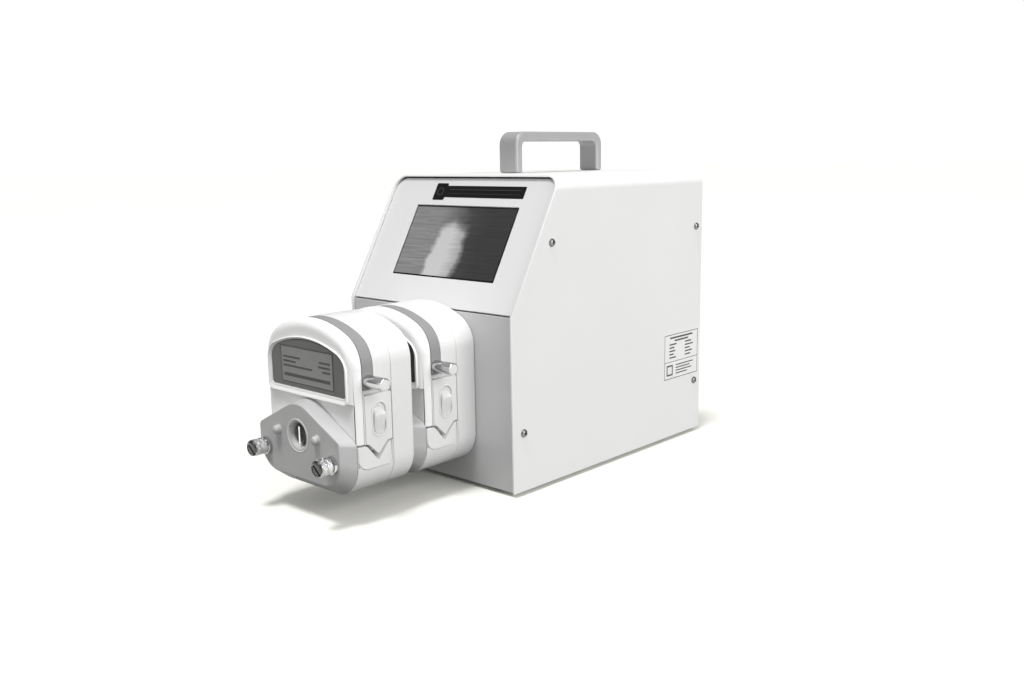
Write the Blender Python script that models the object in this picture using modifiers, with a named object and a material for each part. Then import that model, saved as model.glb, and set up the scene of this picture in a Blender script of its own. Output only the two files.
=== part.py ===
"""Bench peristaltic pump: a sheet-metal drive unit with two stacked easy-load pump heads.

The world frame has its origin under the middle of the object, on the plane that the feet
stand on. +X is to the right of a person facing the pump's front, +Y is towards the back and
+Z is up. All sizes in this file are millimetres, and the helpers turn them into metres.
"""

import math

import bmesh
import bpy

MM = 0.001
GAP = 0.3                      # clearance left between pieces that touch

# Casing
CASE_WIDTH = 182.0
CASE_DEPTH = 250.0
CASE_HEIGHT = 232.0
CASE_FRONT_Y = -57.0           # world Y of the casing's front edge, centres the whole object
KNEE_HEIGHT = 133.0            # where the upright front turns into the slanted one
SLOPE_SETBACK = 56.0           # how far back the slant ends at the top
TOP_RADIUS = 12.0
COVER_SHEET = 1.8
PANEL_SHEET = 2.0
FLANGE_SHEET = 1.5
PANEL_RECESS = 2.4             # front and rear panels sit behind the cover's edge
FOOT_HEIGHT = 3.0
FOOT_RADIUS = 9.0
FOOT_X = 70.0
FOOT_Y = (20.0, 230.0)
FLANGE_HEIGHT = 55.0

# Display, measured along the slant from the knee
SCREEN_CENTRE_X = 2.5
SCREEN_WIDTH = 113.0
SCREEN_LOW = 25.5
SCREEN_HIGH = 87.0

# Carry handle
HANDLE_WIDTH = 20.0
HANDLE_THICK = 8.0
HANDLE_FRONT = 96.9
HANDLE_BACK = 210.7
HANDLE_RISE = 33.7

# Side screws: distance from the front edge, height
SIDE_SCREWS = ((45.0, 183.0), (240.0, 183.0), (11.5, 45.0), (240.0, 45.0))

# Pump head, in its own frame: x sideways, y up from the casing's bottom, z forward
HEAD_PITCH = 63.0
HEAD_HALF_WIDTH = 50.75
HEAD_BOTTOM = 17.0
HEAD_TOP = 137.8
BOTTOM_RADIUS = 24.0
SHOULDER_RADIUS = 23.5
DOME_RADIUS = 84.5
AXIS_HEIGHT = 56.6             # rotor axis
SPLIT_HEIGHT = 53.7            # top of the lower body
JAW_BOTTOM = 54.3
HOUSING_DEPTH = 18.6
WELL_FRONT = 41.8              # front end of the rotor's well
GROOVE_BACK = 34.2             # the lever's groove
JAW_FRONT = 43.9
LOWER_FRONT = 50.4
CAP_FRONT = 52.4
NOSE_FRONT = 62.7
WELL_RADIUS = 34.5
TRACK_RADIUS = 36.5

# Cam lever
PIVOT_HEIGHT = 98.5
CORE_RADIUS = 36.0
LEVER_START = -7.0             # degrees above the horizontal, right side
LEVER_END = 100.0
GROOVE_FLOOR = 91.8
GRIP_RADIUS = 4.5
GRIP_REACH = 69.0

# Rotor
SHAFT_RADIUS = 6.5
DISC_RADIUS = 31.0
ROLLER_RADIUS = 8.5
ROLLER_ORBIT = 25.0
ROLLER_ANGLES = (30.0, 150.0, 270.0)
BLADE_THICK = 2.6
BLADE_HEIGHT = 12.0
SLOT_WIDTH = 3.2

# Thumb screws
ROD_X = 38.4
ROD_HEIGHT = 43.0
ROD_RADIUS = 2.5
ROD_CLEARANCE = 3.2
KNOB_RADIUS = 6.0
KNOB_TIP = 76.8

# Tube clamp and tube seat
NOTCH_CENTRE = 32.0
NOTCH_HALF_WIDTH = 11.0
NOTCH_FLOOR = 41.8
NOTCH_FLOOR_HALF = 2.3
CLAMP_INNER_X = 45.7
CLAMP_TOP = 88.5
CLAMP_BOTTOM = 54.6
TONGUE_TIP = 46.2
TONGUE_HALF_WIDTH = 8.5

# Motor and fan
MOTOR_SIZE = 86.0
MOTOR_LENGTH = 75.0
PLATE_THICK = 8.0
FAN_X = -42.0                  # seen from behind, +x is the object's left
FAN_HEIGHT = 165.0
FAN_SIZE = 60.0
INLET_X = 48.0
INLET_HEIGHT = 60.0


# ---------------------------------------------------------------- scene and materials

def start_scene():
    for obj in list(bpy.data.objects):
        bpy.data.objects.remove(obj, do_unlink=True)
    groups = []
    for name in ("peristaltic_pump", "cutters"):
        group = bpy.data.collections.new(name)
        bpy.context.scene.collection.children.link(group)
        groups.append(group)
    return groups


PARTS, CUTTERS = start_scene()


def material(name, colour, roughness, metallic=0.0):
    made = bpy.data.materials.new(name)
    made.use_nodes = True
    shader = made.node_tree.nodes["Principled BSDF"]
    shader.inputs["Base Color"].default_value = (*colour, 1.0)
    shader.inputs["Roughness"].default_value = roughness
    shader.inputs["Metallic"].default_value = metallic
    return made


WHITE_PAINT = material("white_powder_coat", (0.86, 0.86, 0.86), 0.45)
WHITE_PLASTIC = material("white_plastic", (0.84, 0.84, 0.84), 0.35)
GREY_PANEL = material("grey_anodised_panel", (0.48, 0.48, 0.49), 0.4, 0.6)
GREY_STRAP = material("grey_lever", (0.38, 0.38, 0.38), 0.4)
DARK_PLASTIC = material("dark_plastic", (0.05, 0.05, 0.05), 0.4)
SCREEN_GLASS = material("screen_glass", (0.03, 0.03, 0.03), 0.08)
SATIN_METAL = material("satin_aluminium", (0.68, 0.68, 0.69), 0.3, 0.9)
CHROME = material("chrome", (0.8, 0.8, 0.8), 0.1, 1.0)
STEEL = material("steel", (0.5, 0.5, 0.5), 0.3, 1.0)
RUBBER = material("rubber", (0.03, 0.03, 0.03), 0.8)
BOARD = material("circuit_board", (0.02, 0.16, 0.07), 0.5)


# ---------------------------------------------------------------- frames

def frame(name, parent, location, rotation=(0.0, 0.0, 0.0)):
    empty = bpy.data.objects.new(name, None)
    empty.parent = parent
    empty.location = [v * MM for v in location]
    empty.rotation_euler = rotation
    PARTS.objects.link(empty)
    return empty


SLOPE_ANGLE = math.atan2(CASE_HEIGHT - KNEE_HEIGHT, SLOPE_SETBACK)
QUARTER = math.pi / 2

CASE = frame("case_frame", None, (0.0, CASE_FRONT_Y, FOOT_HEIGHT))
SLOPE = frame("slope_frame", CASE, (0.0, 0.0, KNEE_HEIGHT), (SLOPE_ANGLE, 0.0, 0.0))
REAR = frame("rear_frame", CASE, (0.0, CASE_DEPTH, 0.0), (QUARTER, 0.0, math.pi))
HEAD_BACK_Y = PANEL_RECESS - GAP
HEADS = {
    "rear": frame("rear_head_frame", CASE, (0.0, HEAD_BACK_Y, 0.0), (QUARTER, 0.0, 0.0)),
    "front": frame("front_head_frame", CASE, (0.0, HEAD_BACK_Y - HEAD_PITCH, 0.0),
                   (QUARTER, 0.0, 0.0)),
}
ALONG_X = (0.0, QUARTER, 0.0)             # outline (-z, y), extruded along x
CASE_ALONG_X = (QUARTER, 0.0, QUARTER)    # outline (y, z) of the casing, extruded along x


# ---------------------------------------------------------------- outlines

def arc(cx, cy, radius, start, end, steps):
    """Points on an arc, angles in degrees."""
    points = []
    for i in range(steps + 1):
        angle = math.radians(start + (end - start) * i / steps)
        points.append((cx + radius * math.cos(angle), cy + radius * math.sin(angle)))
    return points


def rounded(corners, steps=4):
    """A closed outline with each corner (x, y, radius) rounded."""
    points = []
    count = len(corners)
    for i, (x, y, radius) in enumerate(corners):
        if radius <= 0:
            points.append((x, y))
            continue
        before = corners[i - 1]
        after = corners[(i + 1) % count]
        to_a = (before[0] - x, before[1] - y)
        to_b = (after[0] - x, after[1] - y)
        len_a, len_b = math.hypot(*to_a), math.hypot(*to_b)
        unit_a = (to_a[0] / len_a, to_a[1] / len_a)
        unit_b = (to_b[0] / len_b, to_b[1] / len_b)
        half = math.acos(max(-1.0, min(1.0, unit_a[0] * unit_b[0] + unit_a[1] * unit_b[1]))) / 2
        reach = radius / math.tan(half)
        middle = (unit_a[0] + unit_b[0], unit_a[1] + unit_b[1])
        length = math.hypot(*middle)
        far = radius / math.sin(half)
        cx, cy = x + middle[0] / length * far, y + middle[1] / length * far
        first = math.atan2(y + unit_a[1] * reach - cy, x + unit_a[0] * reach - cx)
        last = math.atan2(y + unit_b[1] * reach - cy, x + unit_b[0] * reach - cx)
        turn = (last - first + math.pi) % (2 * math.pi) - math.pi
        for k in range(steps + 1):
            angle = first + turn * k / steps
            points.append((cx + radius * math.cos(angle), cy + radius * math.sin(angle)))
    return points


def rectangle(cx, cy, width, height, radius=0.0, steps=3):
    w, h = width / 2, height / 2
    corners = [(cx - w, cy - h, radius), (cx + w, cy - h, radius),
               (cx + w, cy + h, radius), (cx - w, cy + h, radius)]
    return rounded(corners, steps)


def dome(half_width, top, shoulder, crown):
    """A wide arch from its right side over the top to its left side."""
    cx = half_width - shoulder
    crown_y = top - crown
    cy = crown_y + math.sqrt((crown - shoulder) ** 2 - cx ** 2)
    turn = math.degrees(math.atan2(cy - crown_y, cx))
    right = arc(cx, cy, shoulder, 0.0, turn, 6)
    over = arc(0.0, crown_y, crown, turn, 180.0 - turn, 10)
    left = arc(-cx, cy, shoulder, 180.0 - turn, 180.0, 6)
    return right + over[1:-1] + left


def head_dome():
    return dome(HEAD_HALF_WIDTH, HEAD_TOP, SHOULDER_RADIUS, DOME_RADIUS)


def head_foot():
    """The head's bottom, from its left side round to its right side."""
    cx = HEAD_HALF_WIDTH - BOTTOM_RADIUS
    cy = HEAD_BOTTOM + BOTTOM_RADIUS
    left = arc(-cx, cy, BOTTOM_RADIUS, 180.0, 270.0, 6)
    return left + arc(cx, cy, BOTTOM_RADIUS, 270.0, 360.0, 6)


def upper_outline(bottom):
    return head_dome() + [(-HEAD_HALF_WIDTH, bottom), (HEAD_HALF_WIDTH, bottom)]


def lower_outline(top):
    return head_foot() + [(HEAD_HALF_WIDTH, top), (-HEAD_HALF_WIDTH, top)]


def rim_radius(angle):
    """Distance from the lever's pivot to the head's side or dome, for an angle in degrees."""
    reach = math.radians(angle)
    dx, dy = math.cos(reach), math.sin(reach)
    outline = head_dome()
    outline = [(HEAD_HALF_WIDTH, 0.0)] + outline + [(-HEAD_HALF_WIDTH, 0.0)]
    for (ax, ay), (bx, by) in zip(outline, outline[1:]):
        ax, ay, bx, by = ax, ay - PIVOT_HEIGHT, bx, by - PIVOT_HEIGHT
        ex, ey = bx - ax, by - ay
        cross = dx * ey - dy * ex
        if abs(cross) < 1e-12:
            continue
        along = (ax * ey - ay * ex) / cross
        part = (ax * dy - ay * dx) / cross
        if along > 0 and -1e-9 <= part <= 1 + 1e-9:
            return along
    return HEAD_HALF_WIDTH


# ---------------------------------------------------------------- mesh helpers

def place(obj, parent, location=(0.0, 0.0, 0.0), rotation=(0.0, 0.0, 0.0), finish=None):
    """Puts a piece in the object's collection, or a cutter (no finish) in the other one."""
    obj.parent = parent
    obj.location = [v * MM for v in location]
    obj.rotation_euler = rotation
    if finish is None:
        CUTTERS.objects.link(obj)
        obj.hide_render = True
        obj.display_type = "WIRE"
    else:
        PARTS.objects.link(obj)
        obj.data.materials.clear()
        obj.data.materials.append(finish)
    return obj


def mesh_from(name, build):
    """A mesh object from a function that fills a bmesh."""
    mesh = bpy.data.meshes.new(name)
    bm = bmesh.new()
    build(bm)
    bm.to_mesh(mesh)
    bm.free()
    mesh.shade_smooth()
    mesh.set_sharp_from_angle(angle=math.radians(30.0))
    return bpy.data.objects.new(name, mesh)


def plate(name, outlines, low, high, parent, finish=None, centre=(0.0, 0.0),
          rotation=(0.0, 0.0, 0.0), shape=None):
    """Flat outlines filled and extruded from low to high along the extrusion axis."""
    flat = bpy.data.curves.new(name, "CURVE")
    flat.dimensions = "2D"
    flat.fill_mode = "BOTH"
    flat.extrude = (high - low) / 2 * MM
    for outline in outlines:
        spline = flat.splines.new("POLY")
        spline.points.add(len(outline) - 1)
        for point, (x, y) in zip(spline.points, outline):
            point.co = ((x - centre[0]) * MM, (y - centre[1]) * MM, 0.0, 1.0)
        spline.use_cyclic_u = True
    drawn = bpy.data.objects.new(name + "_outline", flat)
    bpy.context.scene.collection.objects.link(drawn)
    depsgraph = bpy.context.evaluated_depsgraph_get()
    solid = bpy.data.meshes.new_from_object(drawn.evaluated_get(depsgraph))
    solid.name = name
    bm = bmesh.new()
    bm.from_mesh(solid)
    bmesh.ops.remove_doubles(bm, verts=bm.verts, dist=1e-6)
    bmesh.ops.dissolve_limit(bm, angle_limit=math.radians(1.0), verts=bm.verts, edges=bm.edges)
    if shape is not None:
        shape(bm)
    bmesh.ops.recalc_face_normals(bm, faces=bm.faces)
    bm.to_mesh(solid)
    bm.free()
    solid.shade_smooth()
    solid.set_sharp_from_angle(angle=math.radians(30.0))
    piece = bpy.data.objects.new(name, solid)
    piece.matrix_world = drawn.matrix_world
    bpy.data.objects.remove(drawn)
    bpy.data.curves.remove(flat)
    middle = (low + high) / 2
    if rotation == ALONG_X:
        location = (middle, centre[1], -centre[0])
    elif rotation == CASE_ALONG_X:
        location = (middle, centre[0], centre[1])
    else:
        location = (centre[0], centre[1], middle)
    return place(piece, parent, location, rotation, finish)


def box(name, low, high, parent, finish=None):
    size = [b - a for a, b in zip(low, high)]
    middle = [(a + b) / 2 for a, b in zip(low, high)]

    def build(bm):
        bmesh.ops.create_cube(bm, size=1.0)
        bmesh.ops.scale(bm, vec=[v * MM for v in size], verts=bm.verts)

    return place(mesh_from(name, build), parent, middle, finish=finish)


def boxes(name, ranges, parent):
    """One cutter made of several separate boxes, each given by its low and high corner."""
    def build(bm):
        for low, high in ranges:
            made = bmesh.ops.create_cube(bm, size=1.0)["verts"]
            bmesh.ops.scale(bm, vec=[(b - a) * MM for a, b in zip(low, high)], verts=made)
            bmesh.ops.translate(bm, vec=[(a + b) / 2 * MM for a, b in zip(low, high)], verts=made)

    return place(mesh_from(name, build), parent)


def cylinder(name, centre, radius, low, high, parent, finish=None, sides=24,
             rotation=(0.0, 0.0, 0.0)):
    """A cylinder along z, or along x with ALONG_X, from low to high."""
    def build(bm):
        bmesh.ops.create_cone(bm, cap_ends=True, segments=sides, radius1=radius * MM,
                              radius2=radius * MM, depth=(high - low) * MM)

    middle = (low + high) / 2
    if rotation == ALONG_X:
        location = (middle, centre[0], centre[1])
    else:
        location = (centre[0], centre[1], middle)
    return place(mesh_from(name, build), parent, location, rotation, finish)


def turned(name, profile, steps, parent, finish, location=(0.0, 0.0, 0.0),
           rotation=(0.0, 0.0, 0.0)):
    """A solid turned about its own z axis. The profile (radius, z) runs from top to bottom."""
    mesh = bpy.data.meshes.new(name)
    bm = bmesh.new()
    last = None
    for radius, z in profile:
        vert = bm.verts.new((radius * MM, 0.0, z * MM))
        if last is not None:
            bm.edges.new((last, vert))
        last = vert
    bm.to_mesh(mesh)
    bm.free()
    piece = bpy.data.objects.new(name, mesh)
    turn = piece.modifiers.new("turn", "SCREW")
    turn.axis = "Z"
    turn.angle = 2 * math.pi
    turn.steps = steps
    turn.render_steps = steps
    turn.use_merge_vertices = True
    turn.merge_threshold = 0.00005
    turn.use_smooth_shade = True
    return place(piece, parent, location, rotation, finish)


def combine(target, *tools, operation="DIFFERENCE"):
    for tool in tools:
        step = target.modifiers.new(tool.name, "BOOLEAN")
        step.operation = operation
        step.solver = "EXACT"
        step.object = tool
    return target


def cut(target, *tools):
    return combine(target, *tools)


def join(target, *tools):
    return combine(target, *tools, operation="UNION")


def soften(obj, width, segments=2, angle=40.0):
    edge = obj.modifiers.new("soft_edges", "BEVEL")
    edge.width = width * MM
    edge.segments = segments
    edge.limit_method = "ANGLE"
    edge.angle_limit = math.radians(angle)
    return obj


def sheet(name, path, start, end, thickness, parent, finish):
    """A folded sheet: an open section (x, z) drawn out along y, thickened to its inside."""
    def build(bm):
        verts = [bm.verts.new((x * MM, start * MM, z * MM)) for x, z in path]
        edges = [bm.edges.new(pair) for pair in zip(verts, verts[1:])]
        grown = bmesh.ops.extrude_edge_only(bm, edges=edges)["geom"]
        moved = [item for item in grown if isinstance(item, bmesh.types.BMVert)]
        bmesh.ops.translate(bm, vec=(0.0, (end - start) * MM, 0.0), verts=moved)
        bmesh.ops.recalc_face_normals(bm, faces=bm.faces)

    piece = place(mesh_from(name, build), parent, finish=finish)
    thick = piece.modifiers.new("thickness", "SOLIDIFY")
    thick.thickness = thickness * MM
    thick.offset = -1.0
    thick.use_even_offset = True
    return piece


# ---------------------------------------------------------------- casing

SLOPE_COS = math.cos(SLOPE_ANGLE)
SLOPE_SIN = math.sin(SLOPE_ANGLE)
SLOPE_LENGTH = math.hypot(SLOPE_SETBACK, CASE_HEIGHT - KNEE_HEIGHT)
INNER_HALF = CASE_WIDTH / 2 - COVER_SHEET - 0.4


def screw_holes():
    """Cross holes for the side screws, through both sides at once."""
    return [
        cylinder(f"side_screw_hole_{i}", (y, z), 1.8, -100.0, 100.0, CASE, sides=10,
                 rotation=ALONG_X)
        for i, (y, z) in enumerate(SIDE_SCREWS, start=1)
    ]


def cover_shell():
    half = CASE_WIDTH / 2
    corner = half - TOP_RADIUS
    high = CASE_HEIGHT - TOP_RADIUS
    path = [(half, 0.0)] + arc(corner, high, TOP_RADIUS, 0.0, 90.0, 6)
    path += arc(-corner, high, TOP_RADIUS, 90.0, 180.0, 6) + [(-half, 0.0)]
    cover = sheet("cover_shell", path, 0.0, CASE_DEPTH, COVER_SHEET, CASE, WHITE_PAINT)
    far = 60.0
    wedge = [(0.0, KNEE_HEIGHT), (SLOPE_SETBACK, CASE_HEIGHT),
             (SLOPE_SETBACK + far * SLOPE_COS, CASE_HEIGHT + far * SLOPE_SIN),
             (-far, CASE_HEIGHT + far), (-far, KNEE_HEIGHT)]
    slant = plate("slant_cutter", [wedge], -120.0, 120.0, CASE, rotation=CASE_ALONG_X)
    return cut(cover, slant)


def base_pan():
    path = [(INNER_HALF, FLANGE_HEIGHT), (INNER_HALF, 0.0), (-INNER_HALF, 0.0),
            (-INNER_HALF, FLANGE_HEIGHT)]
    start = PANEL_RECESS + PANEL_SHEET + 0.4
    end = CASE_DEPTH - PANEL_RECESS - PANEL_SHEET - 0.4
    return sheet("base_pan", path, start, end, FLANGE_SHEET, CASE, STEEL)


def front_panel():
    width = 2 * INNER_HALF
    low, high = 0.3, 131.8
    outline = rectangle(0.0, (low + high) / 2, width, high - low)
    panel = plate("front_panel", [outline], -GAP - PANEL_SHEET, -GAP, HEADS["rear"], GREY_PANEL)
    shaft = cylinder("panel_shaft_hole", (0.0, AXIS_HEIGHT), 10.0, -5.0, 2.0, HEADS["rear"])
    return cut(panel, shaft)


def control_panel():
    width = 2 * INNER_HALF
    low, high = 1.6, SLOPE_LENGTH - 1.9
    w = width / 2
    outline = rounded([(-w, low, 0.0), (w, low, 0.0), (w, high, 11.0), (-w, high, 11.0)], 5)
    middle = (SCREEN_LOW + SCREEN_HIGH) / 2
    window = rectangle(SCREEN_CENTRE_X, middle, SCREEN_WIDTH + 0.6,
                       SCREEN_HIGH - SCREEN_LOW + 0.6)
    face, back = -PANEL_RECESS, -PANEL_RECESS - PANEL_SHEET
    panel = plate("control_panel", [outline, window], back, face, SLOPE, WHITE_PAINT)
    flanges = boxes("control_panel_flanges", [
        ((side * w if side < 0 else w - FLANGE_SHEET, 45.0, back - 18.0),
         (side * w + FLANGE_SHEET if side < 0 else w, 86.0, back + 0.5))
        for side in (-1, 1)], SLOPE)
    return join(panel, flanges)


def touch_screen():
    """Display module: its glass fills the window, and its wider body sits behind the panel."""
    back = -PANEL_RECESS - PANEL_SHEET - GAP
    middle = (SCREEN_LOW + SCREEN_HIGH) / 2
    glass = rectangle(SCREEN_CENTRE_X, middle, SCREEN_WIDTH, SCREEN_HIGH - SCREEN_LOW)
    module = plate("touch_screen", [glass], back - 2.0, -PANEL_RECESS - 0.4, SLOPE, SCREEN_GLASS)
    body = box("touch_screen_body", (-61.0, 19.0, back - 8.0), (66.0, 93.0, back), SLOPE)
    return join(module, body)


def rear_panel():
    width = 2 * INNER_HALF
    low, high = 0.3, CASE_HEIGHT - COVER_SHEET - 0.6
    w = width / 2
    outline = rounded([(-w, low, 0.0), (w, low, 0.0), (w, high, 10.0), (-w, high, 10.0)], 5)
    inlet = rectangle(INLET_X, INLET_HEIGHT, 27.0, 61.0, 1.0, 2)
    face, back = -PANEL_RECESS, -PANEL_RECESS - PANEL_SHEET
    panel = plate("rear_panel", [outline, inlet], back, face, REAR, WHITE_PAINT)
    slots = []
    for i in range(-3, 4):
        y = FAN_HEIGHT + i * 8.0
        reach = math.sqrt(27.0 ** 2 - (i * 8.0) ** 2)
        slots.append(((FAN_X - reach, y - 2.0, back - 1.0), (FAN_X + reach, y + 2.0, face + 1.0)))
    flanges = boxes("rear_panel_flanges", [
        ((side * w if side < 0 else w - FLANGE_SHEET, 160.0, back - 16.0),
         (side * w + FLANGE_SHEET if side < 0 else w, 205.0, back + 0.5))
        for side in (-1, 1)], REAR)
    cut(panel, boxes("fan_slots", slots, REAR))
    return join(panel, flanges)


def carry_handle():
    low = GAP
    rise, thick = HANDLE_RISE, HANDLE_THICK
    front, back = HANDLE_FRONT, HANDLE_BACK
    corners = [(front, low, 0.0), (front, rise, 11.0), (back, rise, 11.0), (back, low, 0.0),
               (back - thick, low, 0.0), (back - thick, rise - thick, 6.0),
               (front + thick, rise - thick, 6.0), (front + thick, low, 0.0)]
    outline = [(y, z + CASE_HEIGHT) for y, z in rounded(corners, 5)]
    half = HANDLE_WIDTH / 2
    handle = plate("carry_handle", [outline], -half, half, CASE, SATIN_METAL,
                   rotation=CASE_ALONG_X)
    return soften(handle, 1.0, 1, 50.0)


def side_screws():
    """Pan-head screws with their shanks through the cover and the flange behind it."""
    profile = [(0.0, 2.2), (1.7, 2.0), (2.7, 1.3), (3.1, 0.3), (1.45, 0.3), (1.45, -7.0),
               (0.0, -7.0)]
    for side, word, turn in ((1, "right", QUARTER), (-1, "left", -QUARTER)):
        for i, (y, z) in enumerate(SIDE_SCREWS, start=1):
            turned(f"side_screw_{word}_{i}", profile, 12, CASE, CHROME,
                   (side * CASE_WIDTH / 2, y, z), (0.0, turn, 0.0))


def feet():
    top = -GAP
    profile = [(0.0, top), (FOOT_RADIUS, top), (FOOT_RADIUS, top - 1.7),
               (FOOT_RADIUS - 1.0, -FOOT_HEIGHT), (0.0, -FOOT_HEIGHT)]
    number = 1
    for y in FOOT_Y:
        for x in (-FOOT_X, FOOT_X):
            turned(f"foot_{number}", profile, 20, CASE, RUBBER, (x, y, 0.0))
            number += 1


# ---------------------------------------------------------------- rear fittings

def power_inlet():
    """Mains inlet: a bezel, a body, a socket with three blades and the switch's window."""
    bezel_face = -0.4
    body = rectangle(INLET_X, INLET_HEIGHT, 26.0, 60.0)
    inlet = plate("power_inlet", [body], -26.0, -2.0, REAR, DARK_PLASTIC)
    bezel = plate("inlet_bezel", [rectangle(INLET_X, INLET_HEIGHT, 31.0, 65.0, 3.0)],
                  -2.1, bezel_face, REAR)
    socket_y = INLET_HEIGHT - 13.0
    switch_y = INLET_HEIGHT + 17.0
    hollows = boxes("inlet_hollows", [
        ((INLET_X - 10.5, socket_y - 7.0, -17.0), (INLET_X + 10.5, socket_y + 7.0, 2.0)),
        ((INLET_X - 6.8, switch_y - 10.2, -15.0), (INLET_X + 6.8, switch_y + 10.2, 2.0))], REAR)
    pins = []
    for x, y in ((-6.0, -1.0), (0.0, 2.0), (6.0, -1.0)):
        px, py = INLET_X + x, socket_y + y
        pins.append(((px - 1.0, py - 2.0, -18.0), (px + 1.0, py + 2.0, -7.0)))
    join(inlet, bezel)
    cut(inlet, hollows)
    return join(inlet, boxes("inlet_blades", pins, REAR))


def power_switch():
    """Rocker on a pivot along x. It rests tilted, and turns through twice its tilt."""
    pivot_z = -5.0
    tilt = math.radians(7.0)
    shape = [(-8.8, 5.6), (0.0, 4.4), (8.8, 5.6), (6.0, -3.0), (-6.0, -3.0)]
    outline = []
    for y, z in shape:
        ty = y * math.cos(tilt) - z * math.sin(tilt)
        tz = y * math.sin(tilt) + z * math.cos(tilt)
        outline.append((-(tz + pivot_z), ty + INLET_HEIGHT + 17.0))
    return plate("power_switch", [outline], INLET_X - 6.3, INLET_X + 6.3, REAR, DARK_PLASTIC,
                 centre=(-pivot_z, INLET_HEIGHT + 17.0), rotation=ALONG_X)


def cooling_fan():
    front = -PANEL_RECESS - PANEL_SHEET - GAP
    depth = 15.0
    half = FAN_SIZE / 2
    square = rectangle(FAN_X, FAN_HEIGHT, FAN_SIZE, FAN_SIZE, 3.0)
    ring = arc(FAN_X, FAN_HEIGHT, half - 1.6, 0.0, 352.5, 47)
    frame_piece = plate("fan_frame", [square, ring], front - depth, front, REAR, DARK_PLASTIC)
    seat = cylinder("fan_seat", (FAN_X, FAN_HEIGHT), 12.0, front - depth, front - depth + 2.0,
                    REAR)
    reach = half - 1.0
    struts = boxes("fan_struts", [
        ((FAN_X - reach, FAN_HEIGHT - 1.5, front - depth + 0.1),
         (FAN_X + reach, FAN_HEIGHT + 1.5, front - depth + 1.9)),
        ((FAN_X - 1.5, FAN_HEIGHT - reach, front - depth + 0.2),
         (FAN_X + 1.5, FAN_HEIGHT + reach, front - depth + 1.8))], REAR)
    join(seat, struts)
    join(frame_piece, seat)
    low, high = front - depth + 3.0, front - 1.0
    rotor = cylinder("fan_rotor", (FAN_X, FAN_HEIGHT), 12.5, low, high, REAR, DARK_PLASTIC, 20)
    blade_count = 7

    def build(bm):
        for i in range(blade_count):
            made = bmesh.ops.create_cube(bm, size=1.0)["verts"]
            bmesh.ops.scale(bm, vec=(16.0 * MM, 1.2 * MM, 11.0 * MM), verts=made)
            rotate_verts(bm, made, 35.0, "X")
            bmesh.ops.translate(bm, vec=(19.0 * MM, 0.0, 0.0), verts=made)
            rotate_verts(bm, made, 360.0 * i / blade_count, "Z")

    blades = place(mesh_from("fan_blades", build), REAR, (FAN_X, FAN_HEIGHT, (low + high) / 2))
    return join(rotor, blades)


def rotate_verts(bm, verts, degrees, axis):
    angle = math.radians(degrees)
    cosine, sine = math.cos(angle), math.sin(angle)
    for vert in verts:
        x, y, z = vert.co
        if axis == "X":
            vert.co = (x, y * cosine - z * sine, y * sine + z * cosine)
        else:
            vert.co = (x * cosine - y * sine, x * sine + y * cosine, z)


# ---------------------------------------------------------------- drive

MOTOR_PLATE_FRONT = -GAP - PANEL_SHEET - GAP


def motor_plate():
    outline = rectangle(0.0, AXIS_HEIGHT, 104.0, 98.0, 4.0)
    front = MOTOR_PLATE_FRONT
    piece = plate("motor_plate", [outline], front - PLATE_THICK, front, HEADS["rear"],
                  SATIN_METAL)
    shaft = cylinder("plate_shaft_hole", (0.0, AXIS_HEIGHT), 11.0, front - 10.0, front + 2.0,
                     HEADS["rear"])
    return cut(piece, shaft)


def motor():
    front = MOTOR_PLATE_FRONT - PLATE_THICK - GAP
    outline = rectangle(0.0, AXIS_HEIGHT, MOTOR_SIZE, MOTOR_SIZE, 9.0, 2)
    piece = plate("motor", [outline], front - MOTOR_LENGTH, front, HEADS["rear"], DARK_PLASTIC)
    bore = cylinder("motor_bore", (0.0, AXIS_HEIGHT), 7.2, front - 42.0, front + 1.0,
                    HEADS["rear"])
    waist = plate("motor_waist", [
        rectangle(0.0, AXIS_HEIGHT, MOTOR_SIZE + 4.0, MOTOR_SIZE + 4.0),
        rectangle(0.0, AXIS_HEIGHT, MOTOR_SIZE - 3.0, MOTOR_SIZE - 3.0, 8.0, 2)],
        front - MOTOR_LENGTH + 12.0, front - 12.0, HEADS["rear"])
    return cut(piece, bore, waist)


def drive_shaft():
    profile = [(0.0, -5.0), (SHAFT_RADIUS, -5.0), (SHAFT_RADIUS, -48.0), (0.0, -48.0)]
    shaft = turned("drive_shaft", profile, 24, HEADS["rear"], STEEL, (0.0, AXIS_HEIGHT, 0.0))
    half = BLADE_HEIGHT / 2
    blade = box("drive_blade", (-BLADE_THICK / 2, AXIS_HEIGHT - half, -5.5),
                (BLADE_THICK / 2, AXIS_HEIGHT + half, -1.7), HEADS["rear"])
    return join(shaft, blade)


def control_board():
    board = box("control_board", (-52.0, 22.0, -32.0), (48.0, 92.0, -30.4), SLOPE, BOARD)
    chips = boxes("board_chips", [
        ((-40.0, 30.0, -30.6), (-16.0, 54.0, -27.0)),
        ((-6.0, 32.0, -30.6), (8.0, 46.0, -28.4)),
        ((18.0, 28.0, -30.6), (42.0, 38.0, -22.0)),
        ((-44.0, 66.0, -30.6), (-24.0, 84.0, -20.0)),
        ((-12.0, 62.0, -30.6), (36.0, 70.0, -23.0))], SLOPE)
    return join(board, chips)


def power_supply():
    supply = box("power_supply", (-82.0, 105.0, 6.0), (16.0, 212.0, 44.0), CASE, SATIN_METAL)
    step = box("terminal_step", (-90.0, 196.0, 20.0), (24.0, 220.0, 50.0), CASE)
    ends = box("terminal_block", (-70.0, 198.0, 19.0), (4.0, 209.0, 30.0), CASE)
    cut(supply, step)
    return join(supply, ends)


# ---------------------------------------------------------------- pump head

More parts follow.
